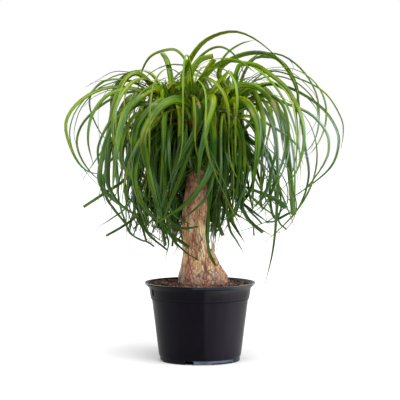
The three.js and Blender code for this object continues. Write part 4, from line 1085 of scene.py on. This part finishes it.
class StageSettings(bpy.types.PropertyGroup):
    """Camera, floor and lights."""

    distance: size_property("Distance", "From the pot's axis to the camera", 4)
    eye_height: size_property("Eye height", "Height of the camera", 0.55)
    aim_height: size_property("Aim height", "Height that the camera looks at", 0.3063)
    field: size_property("Field", "Width seen at the pot's axis", 0.76)
    floor_colour: colour_property("Floor", "Pale floor", (0.9, 0.9, 0.9))
    surround: strength_property("Surround", "Light from the white room behind", 0.95)
    front: strength_property("Front", "Light from the dim room behind the camera", 0.12)
    key: strength_property("Key", "Strength of the key light", 3.2)
    side: bpy.props.FloatProperty(
        name="Side", description="Power of each side light", default=9, min=0,
        subtype="POWER", unit="POWER",
    )


# Pot


def pot_profile(settings):
    """The whole outline of the pot: underside, wall, lip and lining."""
    radius = settings.rim_radius / MM
    top = settings.height / MM
    wall = settings.wall / MM
    foot = top - LIP_DEPTH
    lip = (
        (radius - 0.7, foot - 0.6), (radius - 0.15, foot), (radius, foot + LIP_ROUND),
        (radius, top - LIP_ROUND), (radius - 0.3, top - 0.3), (radius - wall / 2, top),
        (radius - wall + 0.2, top - 0.3), (radius - wall - 0.1, top - LIP_ROUND),
        (radius - wall - 0.4, foot + 0.9), (radius - wall - 1.1, foot),
    )
    return [(r * MM, z * MM) for r, z in (*POT_OUTLINE, *lip, *POT_LINING)]


def around(place, angle):
    """A point out along an angle, from its distance from the axis and its height."""
    distance, height = place
    return Vector((distance * math.cos(angle), distance * math.sin(angle), height)) * MM


def sized(size):
    """The shape that was just added, at this size."""
    shape = bpy.context.object
    shape.scale = Vector(size) * MM
    return settle(shape)


def turned_box(size, place, angle):
    """A box that points out along an angle."""
    clear_selection()
    bpy.ops.mesh.primitive_cube_add(size=1, location=around(place, angle), rotation=(0, 0, angle))
    return sized(size)


def upright_disc(size, place, angle):
    """An oval disc, as the boss and the cutter of a drain slot."""
    clear_selection()
    bpy.ops.mesh.primitive_cylinder_add(
        vertices=32, radius=0.5, depth=1, location=around(place, angle), rotation=(0, 0, angle)
    )
    return sized(size)


def grip_shape(angle, margin):
    """The ellipsoid of a thumb recess, grown by a margin."""
    clear_selection()
    bpy.ops.mesh.primitive_uv_sphere_add(
        segments=40, ring_count=24, radius=1, location=around(GRIP_PLACE, angle),
        rotation=(0, 0, angle),
    )
    return sized([size + margin for size in GRIP_RADII])


class PALM_OT_pot(bpy.types.Operator):
    """Model the nursery pot: shell, lip, thumb recesses, foot ring, ribs and drain slots"""

    bl_idname = "palm.pot"
    bl_label = "Pot"

    def execute(self, context):
        settings = context.scene.palm_pot
        profile = pot_profile(settings)
        outside = [*profile[:len(profile) - len(POT_LINING)], (0, settings.height - MM)]
        pot = spun("nursery_pot", profile, POT_STEPS)
        for angle in GRIP_ANGLES:
            filled = spun("filled", outside, POT_STEPS)
            pocket = combine(filled, grip_shape(angle, settings.wall / MM), "INTERSECT")
            combine(pot, pocket, "UNION")
            combine(pot, grip_shape(angle, 0), "DIFFERENCE")
        middle = UNDERSIDE_DEPTH / 2
        boss = (2 * BOSS_RADIUS, 2 * BOSS_RADIUS, UNDERSIDE_DEPTH)
        combine(pot, upright_disc(boss, (0, middle), 0), "UNION")
        rib = (RIB_REACH, RIB_WIDTH, UNDERSIDE_DEPTH)
        for turn in range(0, 360, 360 // FOOT_REPEATS):
            for gap_at, width, height, rib_at in FOOT_GAPS:
                angle, rib_angle = math.radians(turn + gap_at), math.radians(turn + rib_at)
                combine(pot, turned_box(rib, (RIB_REACH / 2, middle), rib_angle), "UNION")
                opening = (GAP_REACH, width * settings.foot_gap / MM, 2 * height)
                notch = turned_box(opening, (FOOT_RADIUS, FOOT_SINK), angle)
                apply_modifier(notch, "BEVEL", width=GAP_ROUND * MM, segments=3)
                combine(pot, notch, "DIFFERENCE")
                drain = upright_disc(DRAIN_SIZE, DRAIN_PLACE, angle)
                combine(pot, drain, "DIFFERENCE")
        select_only(pot)
        bpy.ops.object.shade_smooth_by_angle(angle=SHARP_ANGLE)
        finish_piece(pot, pot_plastic(settings), "pot_plastic", "pot")
        return {"FINISHED"}


# Potting mix


def mix_height(radius):
    """Height of the mix at a distance from the axis, in millimetres."""
    return mixed(MIX_CROWN, MIX_EDGE, np.interp(radius, *zip(*MIX_FALL)))


def heaped(x, y, z):
    """A point of the mix's surface, heaped up and out near its left and right edge."""
    left, right = MIX_HEAPS
    heap = left * smooth(*HEAP_LEFT, x) + right * smooth(*HEAP_RIGHT, x)
    heap *= smooth(*HEAP_RADII, math.hypot(x, y))
    spread = 1 + heap / left * MIX_SPREAD / MIX_RADIUS
    return x * spread, y * spread, z + heap


def mix_lumps(x, y, relief):
    """How far the mix stands above its even surface, in millimetres."""
    (wide, wide_share), (fine, fine_share) = LUMPS
    broad_lumps = noise.fractal(Vector((x / wide, y / wide, 3)), 0.8, 2, 4)
    fine_lumps = noise.fractal(Vector((x / fine, y / fine, 9)), 0.6, 2, 4)
    return relief * (wide_share * broad_lumps + fine_share * fine_lumps)


def mix_top():
    """The even top of the mix: a circle that is drawn in ring by ring."""
    clear_selection()
    bpy.ops.mesh.primitive_circle_add(
        vertices=MIX_SIDES, radius=MIX_RADIUS * MM, location=(0, 0, MIX_EDGE * MM)
    )
    mix = bpy.context.object
    start_edit(mix)
    scale = 1
    for ring in range(1, MIX_RINGS):
        bpy.ops.mesh.extrude_edges_move()
        next_scale = 1 - ring / MIX_RINGS
        share = next_scale / scale
        scale = next_scale
        bpy.ops.transform.resize(value=(share, share, 1), center_override=(0, 0, 0))
    bpy.ops.mesh.merge(type="CENTER")
    end_edit()
    return settle(mix)


def close_mix(mix):
    """Extrudes the rim of the top down along the pot's wall, and closes it underneath."""
    start_edit(mix)
    bpy.ops.mesh.select_all(action="DESELECT")
    end_edit()
    points = corners(mix.data)
    rim = np.hypot(points[:, 0], points[:, 1]) > (MIX_RADIUS - 0.1) * MM
    mix.data.vertices.foreach_set("select", rim)
    bpy.ops.object.mode_set(mode="EDIT")
    for radius, height in MIX_SIDE:
        bpy.ops.mesh.select_mode(type="EDGE")
        bpy.ops.mesh.extrude_edges_move()
        end_edit()
        moved = np.array([vertex.select for vertex in mix.data.vertices])
        points = corners(mix.data)
        outward = points[moved, :2] / np.linalg.norm(points[moved, :2], axis=1)[:, None]
        points[moved, :2] = outward * radius * MM
        points[moved, 2] = height * MM
        set_corners(mix.data, points)
        bpy.ops.object.mode_set(mode="EDIT")
    bpy.ops.mesh.edge_face_add()
    bpy.ops.mesh.select_mode(type="VERT")
    bpy.ops.mesh.select_all(action="SELECT")
    bpy.ops.mesh.normals_make_consistent(inside=False)
    end_edit()


def lump_mix(mix, relief):
    """Raises the top to its crown, its lumps and its heaped edge."""
    points = corners(mix.data)
    for index, (x, y, z) in enumerate(points / MM):
        radius = math.hypot(x, y)
        if z > MIX_EDGE - 1:
            edge = smooth(MIX_RADIUS, MIX_RADIUS - 4, radius)
            height = mix_height(radius) + edge * mix_lumps(x, y, relief)
            points[index] = np.array(heaped(x, y, height)) * MM
    set_corners(mix.data, points)


class PALM_OT_potting_mix(bpy.types.Operator):
    """Model the body of potting mix that fills the pot"""

    bl_idname = "palm.potting_mix"
    bl_label = "Potting mix"

    def execute(self, context):
        settings = context.scene.palm_mix
        mix = mix_top()
        mix.name = "potting_mix"
        close_mix(mix)
        lump_mix(mix, settings.relief / MM)
        shade_smooth(mix)
        finish_piece(mix, potting_mix(settings, "potting_mix", False), "potting_mix", "soil")
        return {"FINISHED"}


def master_chip(size):
    """One chip of bark: a block, bevelled, cut up and roughened."""
    clear_selection()
    bpy.ops.mesh.primitive_cube_add(size=1)
    chip = bpy.context.object
    chip.scale = size
    settle(chip)
    start_edit(chip)
    bpy.ops.mesh.bevel(offset=CHIP_BEVEL, segments=1)
    bpy.ops.mesh.select_all(action="SELECT")
    bpy.ops.mesh.subdivide(number_cuts=1, fractal=CHIP_ROUGHNESS, seed=7)
    bpy.ops.mesh.quads_convert_to_tris()
    end_edit()
    return chip


def strewn_chip(masters, relief, draws):
    """A copy of one of the chips, laid somewhere on the mix and turned."""
    angle = draws.between(0, FULL_TURN)
    radius = math.sqrt(draws.between(CHIP_RADII[0] ** 2, CHIP_RADII[1] ** 2))
    size = mixed(*CHIP_SIZES, draws.next() ** 2.2)
    mesh = masters[int(draws.next() * len(masters))].data.copy()
    turn = Matrix.Rotation(draws.between(0, FULL_TURN), 4, "Z")
    turn = turn @ Matrix.Rotation(draws.either(0.7), 4, "X")
    turn = turn @ Matrix.Rotation(draws.either(0.5), 4, "Y")
    x, y = radius * math.cos(angle), radius * math.sin(angle)
    size = max(SMALLEST_CHIP, 2 * min(size * 0.5, MIX_RADIUS - SMALLEST_CHIP - radius))
    height = mix_height(radius) + mix_lumps(x, y, relief) + 0.12 * size
    place = Matrix.Translation(Vector(heaped(x, y, height)) * MM)
    mesh.transform(place @ turn @ Matrix.Scale(size * MM, 4))
    set_value(mesh, "tone", draws.next() ** 1.6)
    return linked("chip_copy", mesh)


class PALM_OT_bark_chips(bpy.types.Operator):
    """Strew chips and crumbs of bark over the potting mix"""

    bl_idname = "palm.bark_chips"
    bl_label = "Bark chips"

    def execute(self, context):
        settings = context.scene.palm_mix
        masters = [master_chip(shape) for shape in CHIP_SHAPES]
        draws = Draws(CHIP_SEED)
        relief = settings.relief / MM
        chips = joined(
            "bark_chips", [strewn_chip(masters, relief, draws) for _ in range(settings.chips)]
        )
        for master in masters:
            bpy.data.objects.remove(master)
        finish_piece(chips, potting_mix(settings, "bark_chips", True), "potting_mix")
        return {"FINISHED"}


# Trunk


def trunk_section(z):
    """Middle and half width of the trunk at a height, in millimetres."""
    heights, middles, widths = zip(*TRUNK_SECTIONS)
    return np.interp(z, heights, middles), np.interp(z, heights, widths)


def bark_scale(angle, z):
    """Broad furrows and root lobes, as a share of the trunk's radius."""
    rise = z - BARK_STARTS
    if rise <= 0 or z >= BARK_ENDS:
        return 1
    furrows = sum(
        share * math.sin(count * angle + rise / pitch + phase)
        for count, pitch, phase, share in FURROWS
    )
    lobes = math.exp(-rise / ROOT_HEIGHT) * math.sin(ROOT_LOBES * angle + 1)
    fade = min(1, rise / 10) * min(1, (BARK_ENDS - z) / 20)
    return 1 + fade * (FURROW_DEPTH * furrows + LOBE_DEPTH * lobes)


def hollow(x, z, middle, radius):
    """How far the skin lies back behind the loose strip of bark."""
    depth = HOLLOW_DEPTH * smooth(*HOLLOW_FOOT, z) * smooth(*HOLLOW_TOP, z)
    return depth * smooth(0.4, 1, (x - middle) / radius)


def noise_at(x, y, pitch, height):
    """Noise between -1 and 1 whose grain is about as wide as the pitch."""
    return noise.noise(Vector((x / pitch, y / pitch, height)))


def bark_relief(x, y, z):
    """Fissures, plates and fibres at a point of the skin: how far out, and how deep in one."""
    angle = math.atan2(y, x - trunk_section(z)[0])
    round_x, round_y = BARK_ROUND * math.cos(angle), BARK_ROUND * math.sin(angle)
    sway = noise_at(round_x, round_y, 26, z / 60) * 5
    wide = abs(noise_at(round_x + sway, round_y + sway, 9, z / 60))
    narrow = abs(noise_at(round_x - sway, round_y + sway, 4.2, z / 30 + 9))
    fibre = noise.fractal(Vector((round_x / 2.6, round_y / 2.6, z / 22)), 0.7, 2, 3)
    plates = noise.voronoi(Vector((x / 9, y / 9, z / 7)))[0]
    scales = (1 - smooth(*PLATE_EDGE, plates[1] - plates[0])) * smooth(*SCALY_BELOW, z)
    fissure = (1 - smooth(*FISSURE_EDGE, wide)) * smooth(*FISSURED_ABOVE, z)
    crack = (1 - smooth(*CRACK_EDGE, narrow)) * SHALLOW
    depth = max(fissure, crack, SHALLOW * scales)
    return FIBRE_SHARE * fibre - depth, depth


class PALM_OT_trunk(bpy.types.Operator):
    """Model the trunk and the feet of its branches as one skin of fissured bark"""

    bl_idname = "palm.trunk"
    bl_label = "Trunk"

    def execute(self, context):
        settings = context.scene.palm_trunk
        rings = [((x * MM, 0, z * MM), radius * MM) for z, x, radius in TRUNK_SECTIONS]
        limbs = [drawn_out("trunk_core", rings, 64)]
        for fork, tip, _, _ in HEADS.values():
            points = (BRANCH_START, fork, Vector(fork).lerp(Vector(tip), HEAD_STARTS))
            rings = [(Vector(point) * MM, BRANCH_RADIUS * MM) for point in points]
            limbs.append(drawn_out("branch", rings, 24))
        trunk = joined("trunk_bark", limbs)
        apply_modifier(trunk, "REMESH", mode="VOXEL", voxel_size=settings.grain)
        apply_modifier(trunk, "SMOOTH", factor=0.5, iterations=8)
        points = corners(trunk.data) / MM
        for index, (x, y, z) in enumerate(points):
            middle, radius = trunk_section(z)
            scale = bark_scale(math.atan2(y, x - middle), z)
            back = hollow(x, z, middle, radius)
            points[index, :2] = middle + (x - middle) * scale - back, y * scale
        set_corners(trunk.data, points * MM)
        outward = normals(trunk.data)
        out, furrow = np.array([bark_relief(x, y, z) for x, y, z in points]).T
        set_corners(trunk.data, points * MM + outward * (out * settings.fissure)[:, None])
        set_value(trunk.data, "furrow", furrow)
        shade_smooth(trunk)
        finish_piece(trunk, bark_finish(settings), "bark", "trunk")
        return {"FINISHED"}


class PALM_OT_loose_bark(bpy.types.Operator):
    """Model the torn strip of bark that stands off the right side of the trunk"""

    bl_idname = "palm.loose_bark"
    bl_label = "Loose bark"

    def execute(self, context):
        strip = drawn_out("loose_bark", STRIP_RINGS, 12)
        points = corners(strip.data)
        points[:, 1] = STRIP_Y + (points[:, 1] - STRIP_Y) * STRIP_FLATNESS
        set_corners(strip.data, points)
        apply_modifier(strip, "SUBSURF", levels=2, render_levels=2)
        set_value(strip.data, "furrow", 0.0)
        shade_smooth(strip)
        finish_piece(strip, bpy.data.materials["bark"], "bark")
        return {"FINISHED"}


# Leaves


def heading(azimuth, pitch):
    flat = math.cos(pitch)
    return np.array((flat * math.cos(azimuth), flat * math.sin(azimuth), math.sin(pitch)))


def on_stem(head, share):
    fork, tip = (np.array(point, float) for point in HEADS[head][:2])
    return mixed(fork, tip, share)


def blade_width(width, cut, share):
    """Width at a share of the length: wider where it clasps the stem, fine at the tip."""
    along = share * (CUT_AT if cut else 1)
    clasp = 1 + CLASP * max(0, 1 - along / CLASP_SHARE)
    return max(width * clasp * (1 - along ** FULLNESS) ** TAPER, TIP_WIDTH)


def leaf_angles(leaf, share):
    """Azimuth and pitch of a leaf: it droops, sways, and swings sideways towards its tip."""
    swing = leaf["drift"] * share ** 2 + leaf["sway"] * math.sin(share * SWAY_RATE)
    droop = 1 - (1 - share) ** leaf["bend"]
    return leaf["azimuth"] + swing, mixed(leaf["pitch"], leaf["end_pitch"], droop)


def rule_stations(leaf, steps):
    """Midrib, run, side and width at even steps along a leaf of the rule."""
    stations = []
    point = leaf["root"].copy()
    for k in range(steps + 1):
        share = k / steps
        azimuth, pitch = leaf_angles(leaf, share)
        along = heading(azimuth, pitch)
        level = np.array((-math.sin(azimuth), math.cos(azimuth), 0))
        roll = leaf["twist"] * share ** 1.4
        across = level * math.cos(roll) + np.cross(along, level) * math.sin(roll)
        width = blade_width(leaf["width"], leaf["cut"], share)
        stations.append((point.copy(), along, across, width))
        if k < steps:
            point += heading(*leaf_angles(leaf, (k + 0.5) / steps)) * leaf["length"] / steps
    return stations


def passes(points, zones):
    return any(((low < points) & (points < high)).all(axis=1).any() for low, high in zones)


def keeps_in_crown(stations):
    points = np.array([station[0] for station in stations])
    reach = np.linalg.norm((points - (0, 0, CROWN_MIDDLE)) / CROWN, axis=1)
    return reach.max() <= CROWN_SLACK and not passes(points, BARE_ZONES)


def keeps_in_core(stations):
    points = np.array([station[0] for station in stations])
    if np.hypot((points[:, 0] - CORE_X) / CROWN[0], points[:, 1] / CROWN[1]).max() > CORE_SPREAD:
        return False
    return not passes(points, THIN_ZONES)


def draw_leaf(head, order, attempt, draws):
    """One try at a leaf: the youngest stand up in the middle, the oldest hang outside."""
    fork, tip, leaves, _ = HEADS[head]
    age = (order + 0.5) / leaves
    axis = np.array(tip, float) - fork
    lean = axis / np.linalg.norm(axis) * (0.35, 0.35, 0)
    azimuth = order * TURN + math.radians(draws.either(20)) + attempt * math.radians(34)
    pitch = math.radians(mixed(*START_PITCHES, age ** 0.9) + draws.either(16))
    launch = heading(azimuth, pitch) + lean
    launch /= np.linalg.norm(launch)
    spring = draws.next()
    end_pitch = mixed(*END_PITCHES, spring ** 0.9)
    grown = mixed(*LEAF_LENGTHS, min(1, age / 0.2)) * mixed(1, 0.78, age)
    return {
        "root": on_stem(head, mixed(1, 0.38, age)) + launch * ROOT_OUT,
        "azimuth": math.atan2(launch[1], launch[0]),
        "pitch": math.asin(launch[2]),
        "bend": mixed(2.3, 0.85, spring),
        "end_pitch": math.radians(end_pitch + draws.either(22)),
        "length": grown * draws.between(0.7, 1.2),
        "drift": math.radians(draws.either(115)),
        "sway": math.radians(draws.either(22)),
        "width": mixed(*LEAF_WIDTHS, draws.next() ** 2.5),
        "twist": math.radians(draws.either(170)),
        "cut": draws.next() < 0.28,
        "age": age,
    }


def kept_in_place(leaf, far):
    """The leaf drooped and shortened until it keeps in its place, or None."""
    for length, bend in LEAF_WAYS:
        way = {**leaf, "length": leaf["length"] * length, "bend": leaf["bend"] * bend}
        stations = rule_stations(way, TRIAL_STEPS)
        if (far or keeps_in_core(stations)) and keeps_in_crown(stations):
            return way
    return None


def rule_leaves(head):
    """All leaves of a head by the rule, each drawn again where it can't keep in place."""
    draws = Draws(HEADS[head][3])
    kept = []
    for order in range(HEADS[head][2]):
        for attempt in range(TRIES):
            leaf = draw_leaf(head, order, attempt, draws)
            leaf = kept_in_place(leaf, order % FAR_ONE_IN == 0)
            if leaf:
                kept.append(leaf)
                break
    return kept


def curve_at(points, place):
    """Point and unit run on the smooth curve through the points, at a place along them."""
    first = min(int(place), len(points) - 4)
    t = place - first
    a, b, c, d = points[first:first + 4]
    bend, rest = 2 * a - 5 * b + 4 * c - d, 3 * (b - c) + d - a
    run = c - a + 2 * t * bend + 3 * t * t * rest
    return b + 0.5 * t * (c - a + t * (bend + t * rest)), run / np.linalg.norm(run)


def set_stations(head, leaf, steps):
    """Midrib, run, side and width at even steps along a leaf that stands out."""
    grows, width, depths, turns, cut, route = leaf
    eye = np.array(EYE, float)
    last = len(route) - 1
    points = [on_stem(head, mixed(HEAD_STARTS, 1, grows))]
    for k, (x, z) in enumerate(route):
        plane = np.array((x, 0, z), float)
        points.append(mixed(plane, eye, mixed(*depths, k / last) / EYE[1]))
    points = [2 * points[0] - points[1], *points, 2 * points[-1] - points[-2]]
    stations = []
    for k in range(steps + 1):
        share = k / steps
        point, along = curve_at(points, share * (len(points) - 3))
        flat = np.cross(eye - point, along)
        flat /= np.linalg.norm(flat)
        turn = math.radians(mixed(*turns, share))
        across = flat * math.cos(turn) + np.cross(along, flat) * math.sin(turn)
        stations.append((point, along, across, blade_width(width, cut, share)))
    return stations


def master_blade():
    """One straight blade of unit length and half width: a flat six-sided section drawn out."""
    clear_selection()
    bpy.ops.mesh.primitive_circle_add(
        vertices=6, radius=1, fill_type="NGON", rotation=(0, 0, math.pi / 6)
    )
    blade = settle(bpy.context.object)
    start_edit(blade)
    step = {"value": (0, 0, 1 / BLADE_STEPS)}
    for _ in range(BLADE_STEPS):
        bpy.ops.mesh.extrude_region_move(TRANSFORM_OT_translate=step)
    bpy.ops.mesh.select_all(action="SELECT")
    bpy.ops.mesh.normals_make_consistent(inside=False)
    end_edit()
    bpy.ops.object.shade_smooth()
    mesh = blade.data
    points = corners(mesh)
    loops = np.empty(len(mesh.loops), int)
    mesh.loops.foreach_get("vertex_index", loops)
    uv = np.column_stack((points[loops, 0] / 2 + 0.5, points[loops, 2]))
    mesh.uv_layers.new(name="blade").data.foreach_set("uv", uv.ravel())
    return blade


def bent_blade(master, stations, channel, thickness=BLADE_THICKNESS, **values):
    """A copy of the master blade, laid along stations and marked with its own values."""
    mesh = master.data.copy()
    shape = corners(mesh)
    step = np.rint(shape[:, 2] * (len(stations) - 1)).astype(int)
    point, along, across, width = (np.array(part) for part in zip(*stations))
    up = np.cross(across, along)
    side = shape[:, :1]
    lift = channel * width[step, None] * (side ** 2 - 0.5) + thickness * shape[:, 1:2]
    laid = point[step] + across[step] * side * width[step, None] / 2 + up[step] * lift
    set_corners(mesh, laid * MM)
    for name, value in values.items():
        set_value(mesh, name, value)
    return linked("blade_copy", mesh)


def head_blades(head, settings, master):
    """Copies of the blade for all leaves of a head."""
    draws = Draws(HEADS[head][3] + BLADE_SEED)
    blades = []
    for leaf in rule_leaves(head):
        tone = min(1, max(0, mixed(0.85, 0.15, leaf["age"]) + draws.either(0.28)))
        blades.append(bent_blade(
            master, rule_stations(leaf, BLADE_STEPS), settings.channel * draws.between(0.5, 1.5),
            tone=tone, broad=leaf["width"], old=leaf["age"], dry=draws.next() ** 2,
        ))
    for leaves, tones in ((SET_LEAVES, SET_TONES), (SMALL_LEAVES, SMALL_TONES)):
        for leaf in leaves.get(head, ()):
            channel = settings.channel * draws.between(0.5, 1.3)
            blades.append(bent_blade(
                master, set_stations(head, leaf, BLADE_STEPS), channel,
                tone=draws.between(*tones), broad=leaf[1], old=0.3, dry=draws.next() ** 2,
            ))
    return blades


def inner_blades(head, settings, master):
    """Short dark old leaves that hang over the fork and fill the inside of the crown."""
    draws = Draws(HEADS[head][3] + INNER_SEED)
    blades = []
    for order in range(settings.inner):
        azimuth = order * TURN + draws.either(0.4)
        spring = draws.next()
        leaf = {
            "root": on_stem(head, draws.between(0.0, 0.6)) + heading(azimuth, 0) * ROOT_OUT,
            "azimuth": azimuth,
            "pitch": math.radians(draws.between(-30, 45)),
            "bend": mixed(1.8, 0.9, spring),
            "end_pitch": math.radians(mixed(-80, -150, spring)),
            "length": draws.between(70, 190),
            "drift": math.radians(draws.either(110)),
            "sway": math.radians(draws.either(25)),
            "width": draws.between(5, 12),
            "twist": math.radians(draws.either(120)),
            "cut": draws.next() < 0.4,
        }
        tone, dry = draws.between(-0.3, 0.25), draws.next()
        channel = settings.channel * draws.between(0.5, 1.5)
        for share in INNER_SHARES:
            stations = rule_stations({**leaf, "length": leaf["length"] * share}, BLADE_STEPS)
            if keeps_in_crown(stations):
                blades.append(bent_blade(
                    master, stations, channel, tone=tone, broad=leaf["width"], old=1, dry=dry
                ))
                break
    return blades


def sheath_stations(root, axis, outward, length, age):
    """Midrib, run, side and width along a leaf base that leans off its stem."""
    stations = []
    for k in range(BLADE_STEPS + 1):
        part = k / BLADE_STEPS
        flare = part ** 2 * mixed(0.35, 0.9, age)
        along = axis * math.cos(flare * 1.4) + outward * math.sin(flare * 1.4)
        point = root + axis * length * part * 0.85 + outward * length * 0.5 * flare * part
        width = mixed(*SHEATH_WIDTHS, age) * (1 - part ** 1.6) ** 0.8 + TIP_WIDTH
        stations.append((point, along, np.cross(axis, outward), width))
    return stations


def sheath_blades(head, settings, master):
    """Short wide leaf bases that clothe a head's stem, the lower ones brown."""
    draws = Draws(HEADS[head][3] + SHEATH_SEED)
    fork, tip = (np.array(point, float) for point in HEADS[head][:2])
    axis = (tip - fork) / np.linalg.norm(tip - fork)
    blades = []
    for order in range(settings.sheaths):
        age = (order + 0.5) / settings.sheaths
        outward = heading(order * TURN + draws.either(0.3), 0)
        outward -= axis * outward.dot(axis)
        outward /= np.linalg.norm(outward)
        share = mixed(0.95, HEAD_STARTS, age)
        stem = np.interp(share, np.linspace(HEAD_STARTS, 1, len(STEM_RADII)), STEM_RADII)
        root = mixed(fork, tip, share) + outward * (stem - 1.5) - axis * 6
        stations = sheath_stations(root, axis, outward, draws.between(*SHEATH_LENGTHS), age)
        blades.append(bent_blade(
            master, stations, SHEATH_CHANNEL, SHEATH_THICKNESS, tone=draws.between(0.2, 0.7),
            broad=16, old=1, dry=draws.next(),
        ))
    return blades


def head_stem(head):
    """The stem in the middle of a head, with the values that its material reads."""
    fork, tip = (Vector(point) for point in HEADS[head][:2])
    rings = []
    for k, radius in enumerate(STEM_RADII):
        share = mixed(HEAD_STARTS, 1, k / (len(STEM_RADII) - 1))
        rings.append((fork.lerp(tip, share) * MM, radius * MM))
    stem = drawn_out("stem", rings, 24)
    shade_smooth(stem)
    layer = stem.data.uv_layers.new(name="blade")
    layer.data.foreach_set("uv", np.tile((0.5, 0.0), len(stem.data.loops)))
    for name, value in (("tone", 0.1), ("broad", 20), ("old", 1), ("dry", 1)):
        set_value(stem.data, name, value)
    return stem


class PALM_OT_leaves(bpy.types.Operator):
    """Model the five heads of leaves, each as one piece round its stem"""

    bl_idname = "palm.leaves"
    bl_label = "Leaves"

    def execute(self, context):
        settings = context.scene.palm_leaves
        material = leaf_finish(settings)
        master = master_blade()
        for head in HEADS:
            blades = head_blades(head, settings, master)
            blades += inner_blades(head, settings, master) + sheath_blades(head, settings, master)
            crown = joined(head.replace("head", "leaves"), [head_stem(head), *blades])
            finish_piece(crown, material, "leaf", head)
        bpy.data.objects.remove(master)
        return {"FINISHED"}


# Stage


def link_turned(name, data, place, towards, front="-Z"):
    """A lamp or camera at a place, with its front turned towards a direction."""
    thing = linked(name, data)
    thing.location = place
    thing.rotation_euler = Vector(towards).to_track_quat(front, "Y").to_euler()
    return thing


def soft_light(name, size, energy, place):
    """A square soft light at a place, turned to the plant."""
    light = bpy.data.lights.new(name, "AREA")
    light.shape = "SQUARE"
    light.size = size
    light.energy = energy
    link_turned(name, light, place, Vector(LIT_PLACE) - Vector(place))


def studio_world(settings):
    """A white surround that lights the object only as much as a pale room would."""
    world = bpy.data.worlds.new("studio")
    world.use_nodes = True
    nodes, links = world.node_tree.nodes, world.node_tree.links
    background = nodes["Background"]
    background.inputs["Color"].default_value = (1, 1, 1, 1)
    direction = nodes.new("ShaderNodeTexCoord")
    depth = nodes.new("ShaderNodeSeparateXYZ")
    seen = nodes.new("ShaderNodeLightPath")
    room, strength = nodes.new("ShaderNodeMapRange"), nodes.new("ShaderNodeMapRange")
    room_ends = (*ROOM_DEPTHS, settings.front, settings.surround)
    for name, value in zip(("From Min", "From Max", "To Min", "To Max"), room_ends):
        room.inputs[name].default_value = value
    strength.inputs["To Max"].default_value = 1
    links.new(direction.outputs["Object"], depth.inputs["Vector"])
    links.new(depth.outputs["Y"], room.inputs["Value"])
    links.new(room.outputs["Result"], strength.inputs["To Min"])
    links.new(seen.outputs["Is Camera Ray"], strength.inputs["Value"])
    links.new(strength.outputs["Result"], background.inputs["Strength"])
    return world


class PALM_OT_stage(bpy.types.Operator):
    """Set up the camera, the pale floor, and the soft lights"""

    bl_idname = "palm.stage"
    bl_label = "Stage"

    def execute(self, context):
        settings = context.scene.palm_stage
        scene = context.scene
        clear_selection()
        eye = Vector((0, -settings.distance, settings.eye_height))
        aim = Vector((0, 0, settings.aim_height))
        lens = bpy.data.cameras.new("camera")
        lens.sensor_width = 36
        lens.lens = lens.sensor_width * settings.distance / settings.field
        scene.camera = link_turned("camera", lens, eye, aim - eye)

        bpy.ops.mesh.primitive_plane_add(size=16, location=(0, 0, -0.2 * MM))
        floor = context.object
        floor.name = "floor"
        settle(floor)
        paper = Finish("floor_paper")
        mottle = paper.rise(paper.clouds(paper.place(), 2, 2), 0.3, 0.7, 0, 0.02)
        paper.base = paper.colours(mottle, settings.floor_colour, (0.85, 0.85, 0.85))
        floor.data.materials.append(paper.done(Roughness=0.9))

        scene.world = studio_world(settings)
        scene.view_settings.view_transform = "Standard"
        sun = bpy.data.lights.new("key_light", "SUN")
        sun.energy = settings.key
        sun.angle = KEY_SPREAD
        link_turned("key_light", sun, (0, 0, 0), KEY_FROM, "Z")
        soft_light("left_light", 1.1, settings.side, (-1.5, 0.75, 0.7))
        soft_light("right_light", 1.5, 1.4 * settings.side, (1.9, -0.5, 0.35))
        return {"FINISHED"}


# Panel and registration


class PALM_PT_sidebar(bpy.types.Panel):
    """Lists the operators in the order in which they are run"""

    bl_idname = "PALM_PT_sidebar"
    bl_label = "Ponytail Palm"
    bl_space_type = "VIEW_3D"
    bl_region_type = "UI"
    bl_category = "Ponytail Palm"

    def draw(self, context):
        for operator in OPERATORS:
            self.layout.operator(operator.bl_idname)
        for name in SETTINGS:
            box = self.layout.box()
            group = getattr(context.scene, name)
            for key in group.__annotations__:
                box.prop(group, key)


SETTINGS = {
    "palm_pot": PotSettings,
    "palm_mix": MixSettings,
    "palm_trunk": TrunkSettings,
    "palm_leaves": LeafSettings,
    "palm_stage": StageSettings,
}
OPERATORS = (
    PALM_OT_stage,
    PALM_OT_pot,
    PALM_OT_potting_mix,
    PALM_OT_bark_chips,
    PALM_OT_trunk,
    PALM_OT_loose_bark,
    PALM_OT_leaves,
)


def register():
    for group in SETTINGS.values():
        bpy.utils.register_class(group)
    for operator in (*OPERATORS, PALM_PT_sidebar):
        bpy.utils.register_class(operator)
    for name, group in SETTINGS.items():
        setattr(bpy.types.Scene, name, bpy.props.PointerProperty(type=group))


def unregister():
    for name in SETTINGS:
        delattr(bpy.types.Scene, name)
    for operator in (PALM_PT_sidebar, *reversed(OPERATORS)):
        bpy.utils.unregister_class(operator)
    for group in reversed(SETTINGS.values()):
        bpy.utils.unregister_class(group)


def main():
    register()
    bpy.ops.palm.stage()
    bpy.ops.palm.pot()
    bpy.ops.palm.potting_mix()
    bpy.ops.palm.bark_chips()
    bpy.ops.palm.trunk()
    bpy.ops.palm.loose_bark()
    bpy.ops.palm.leaves()


if __name__ == "__main__":
    main()
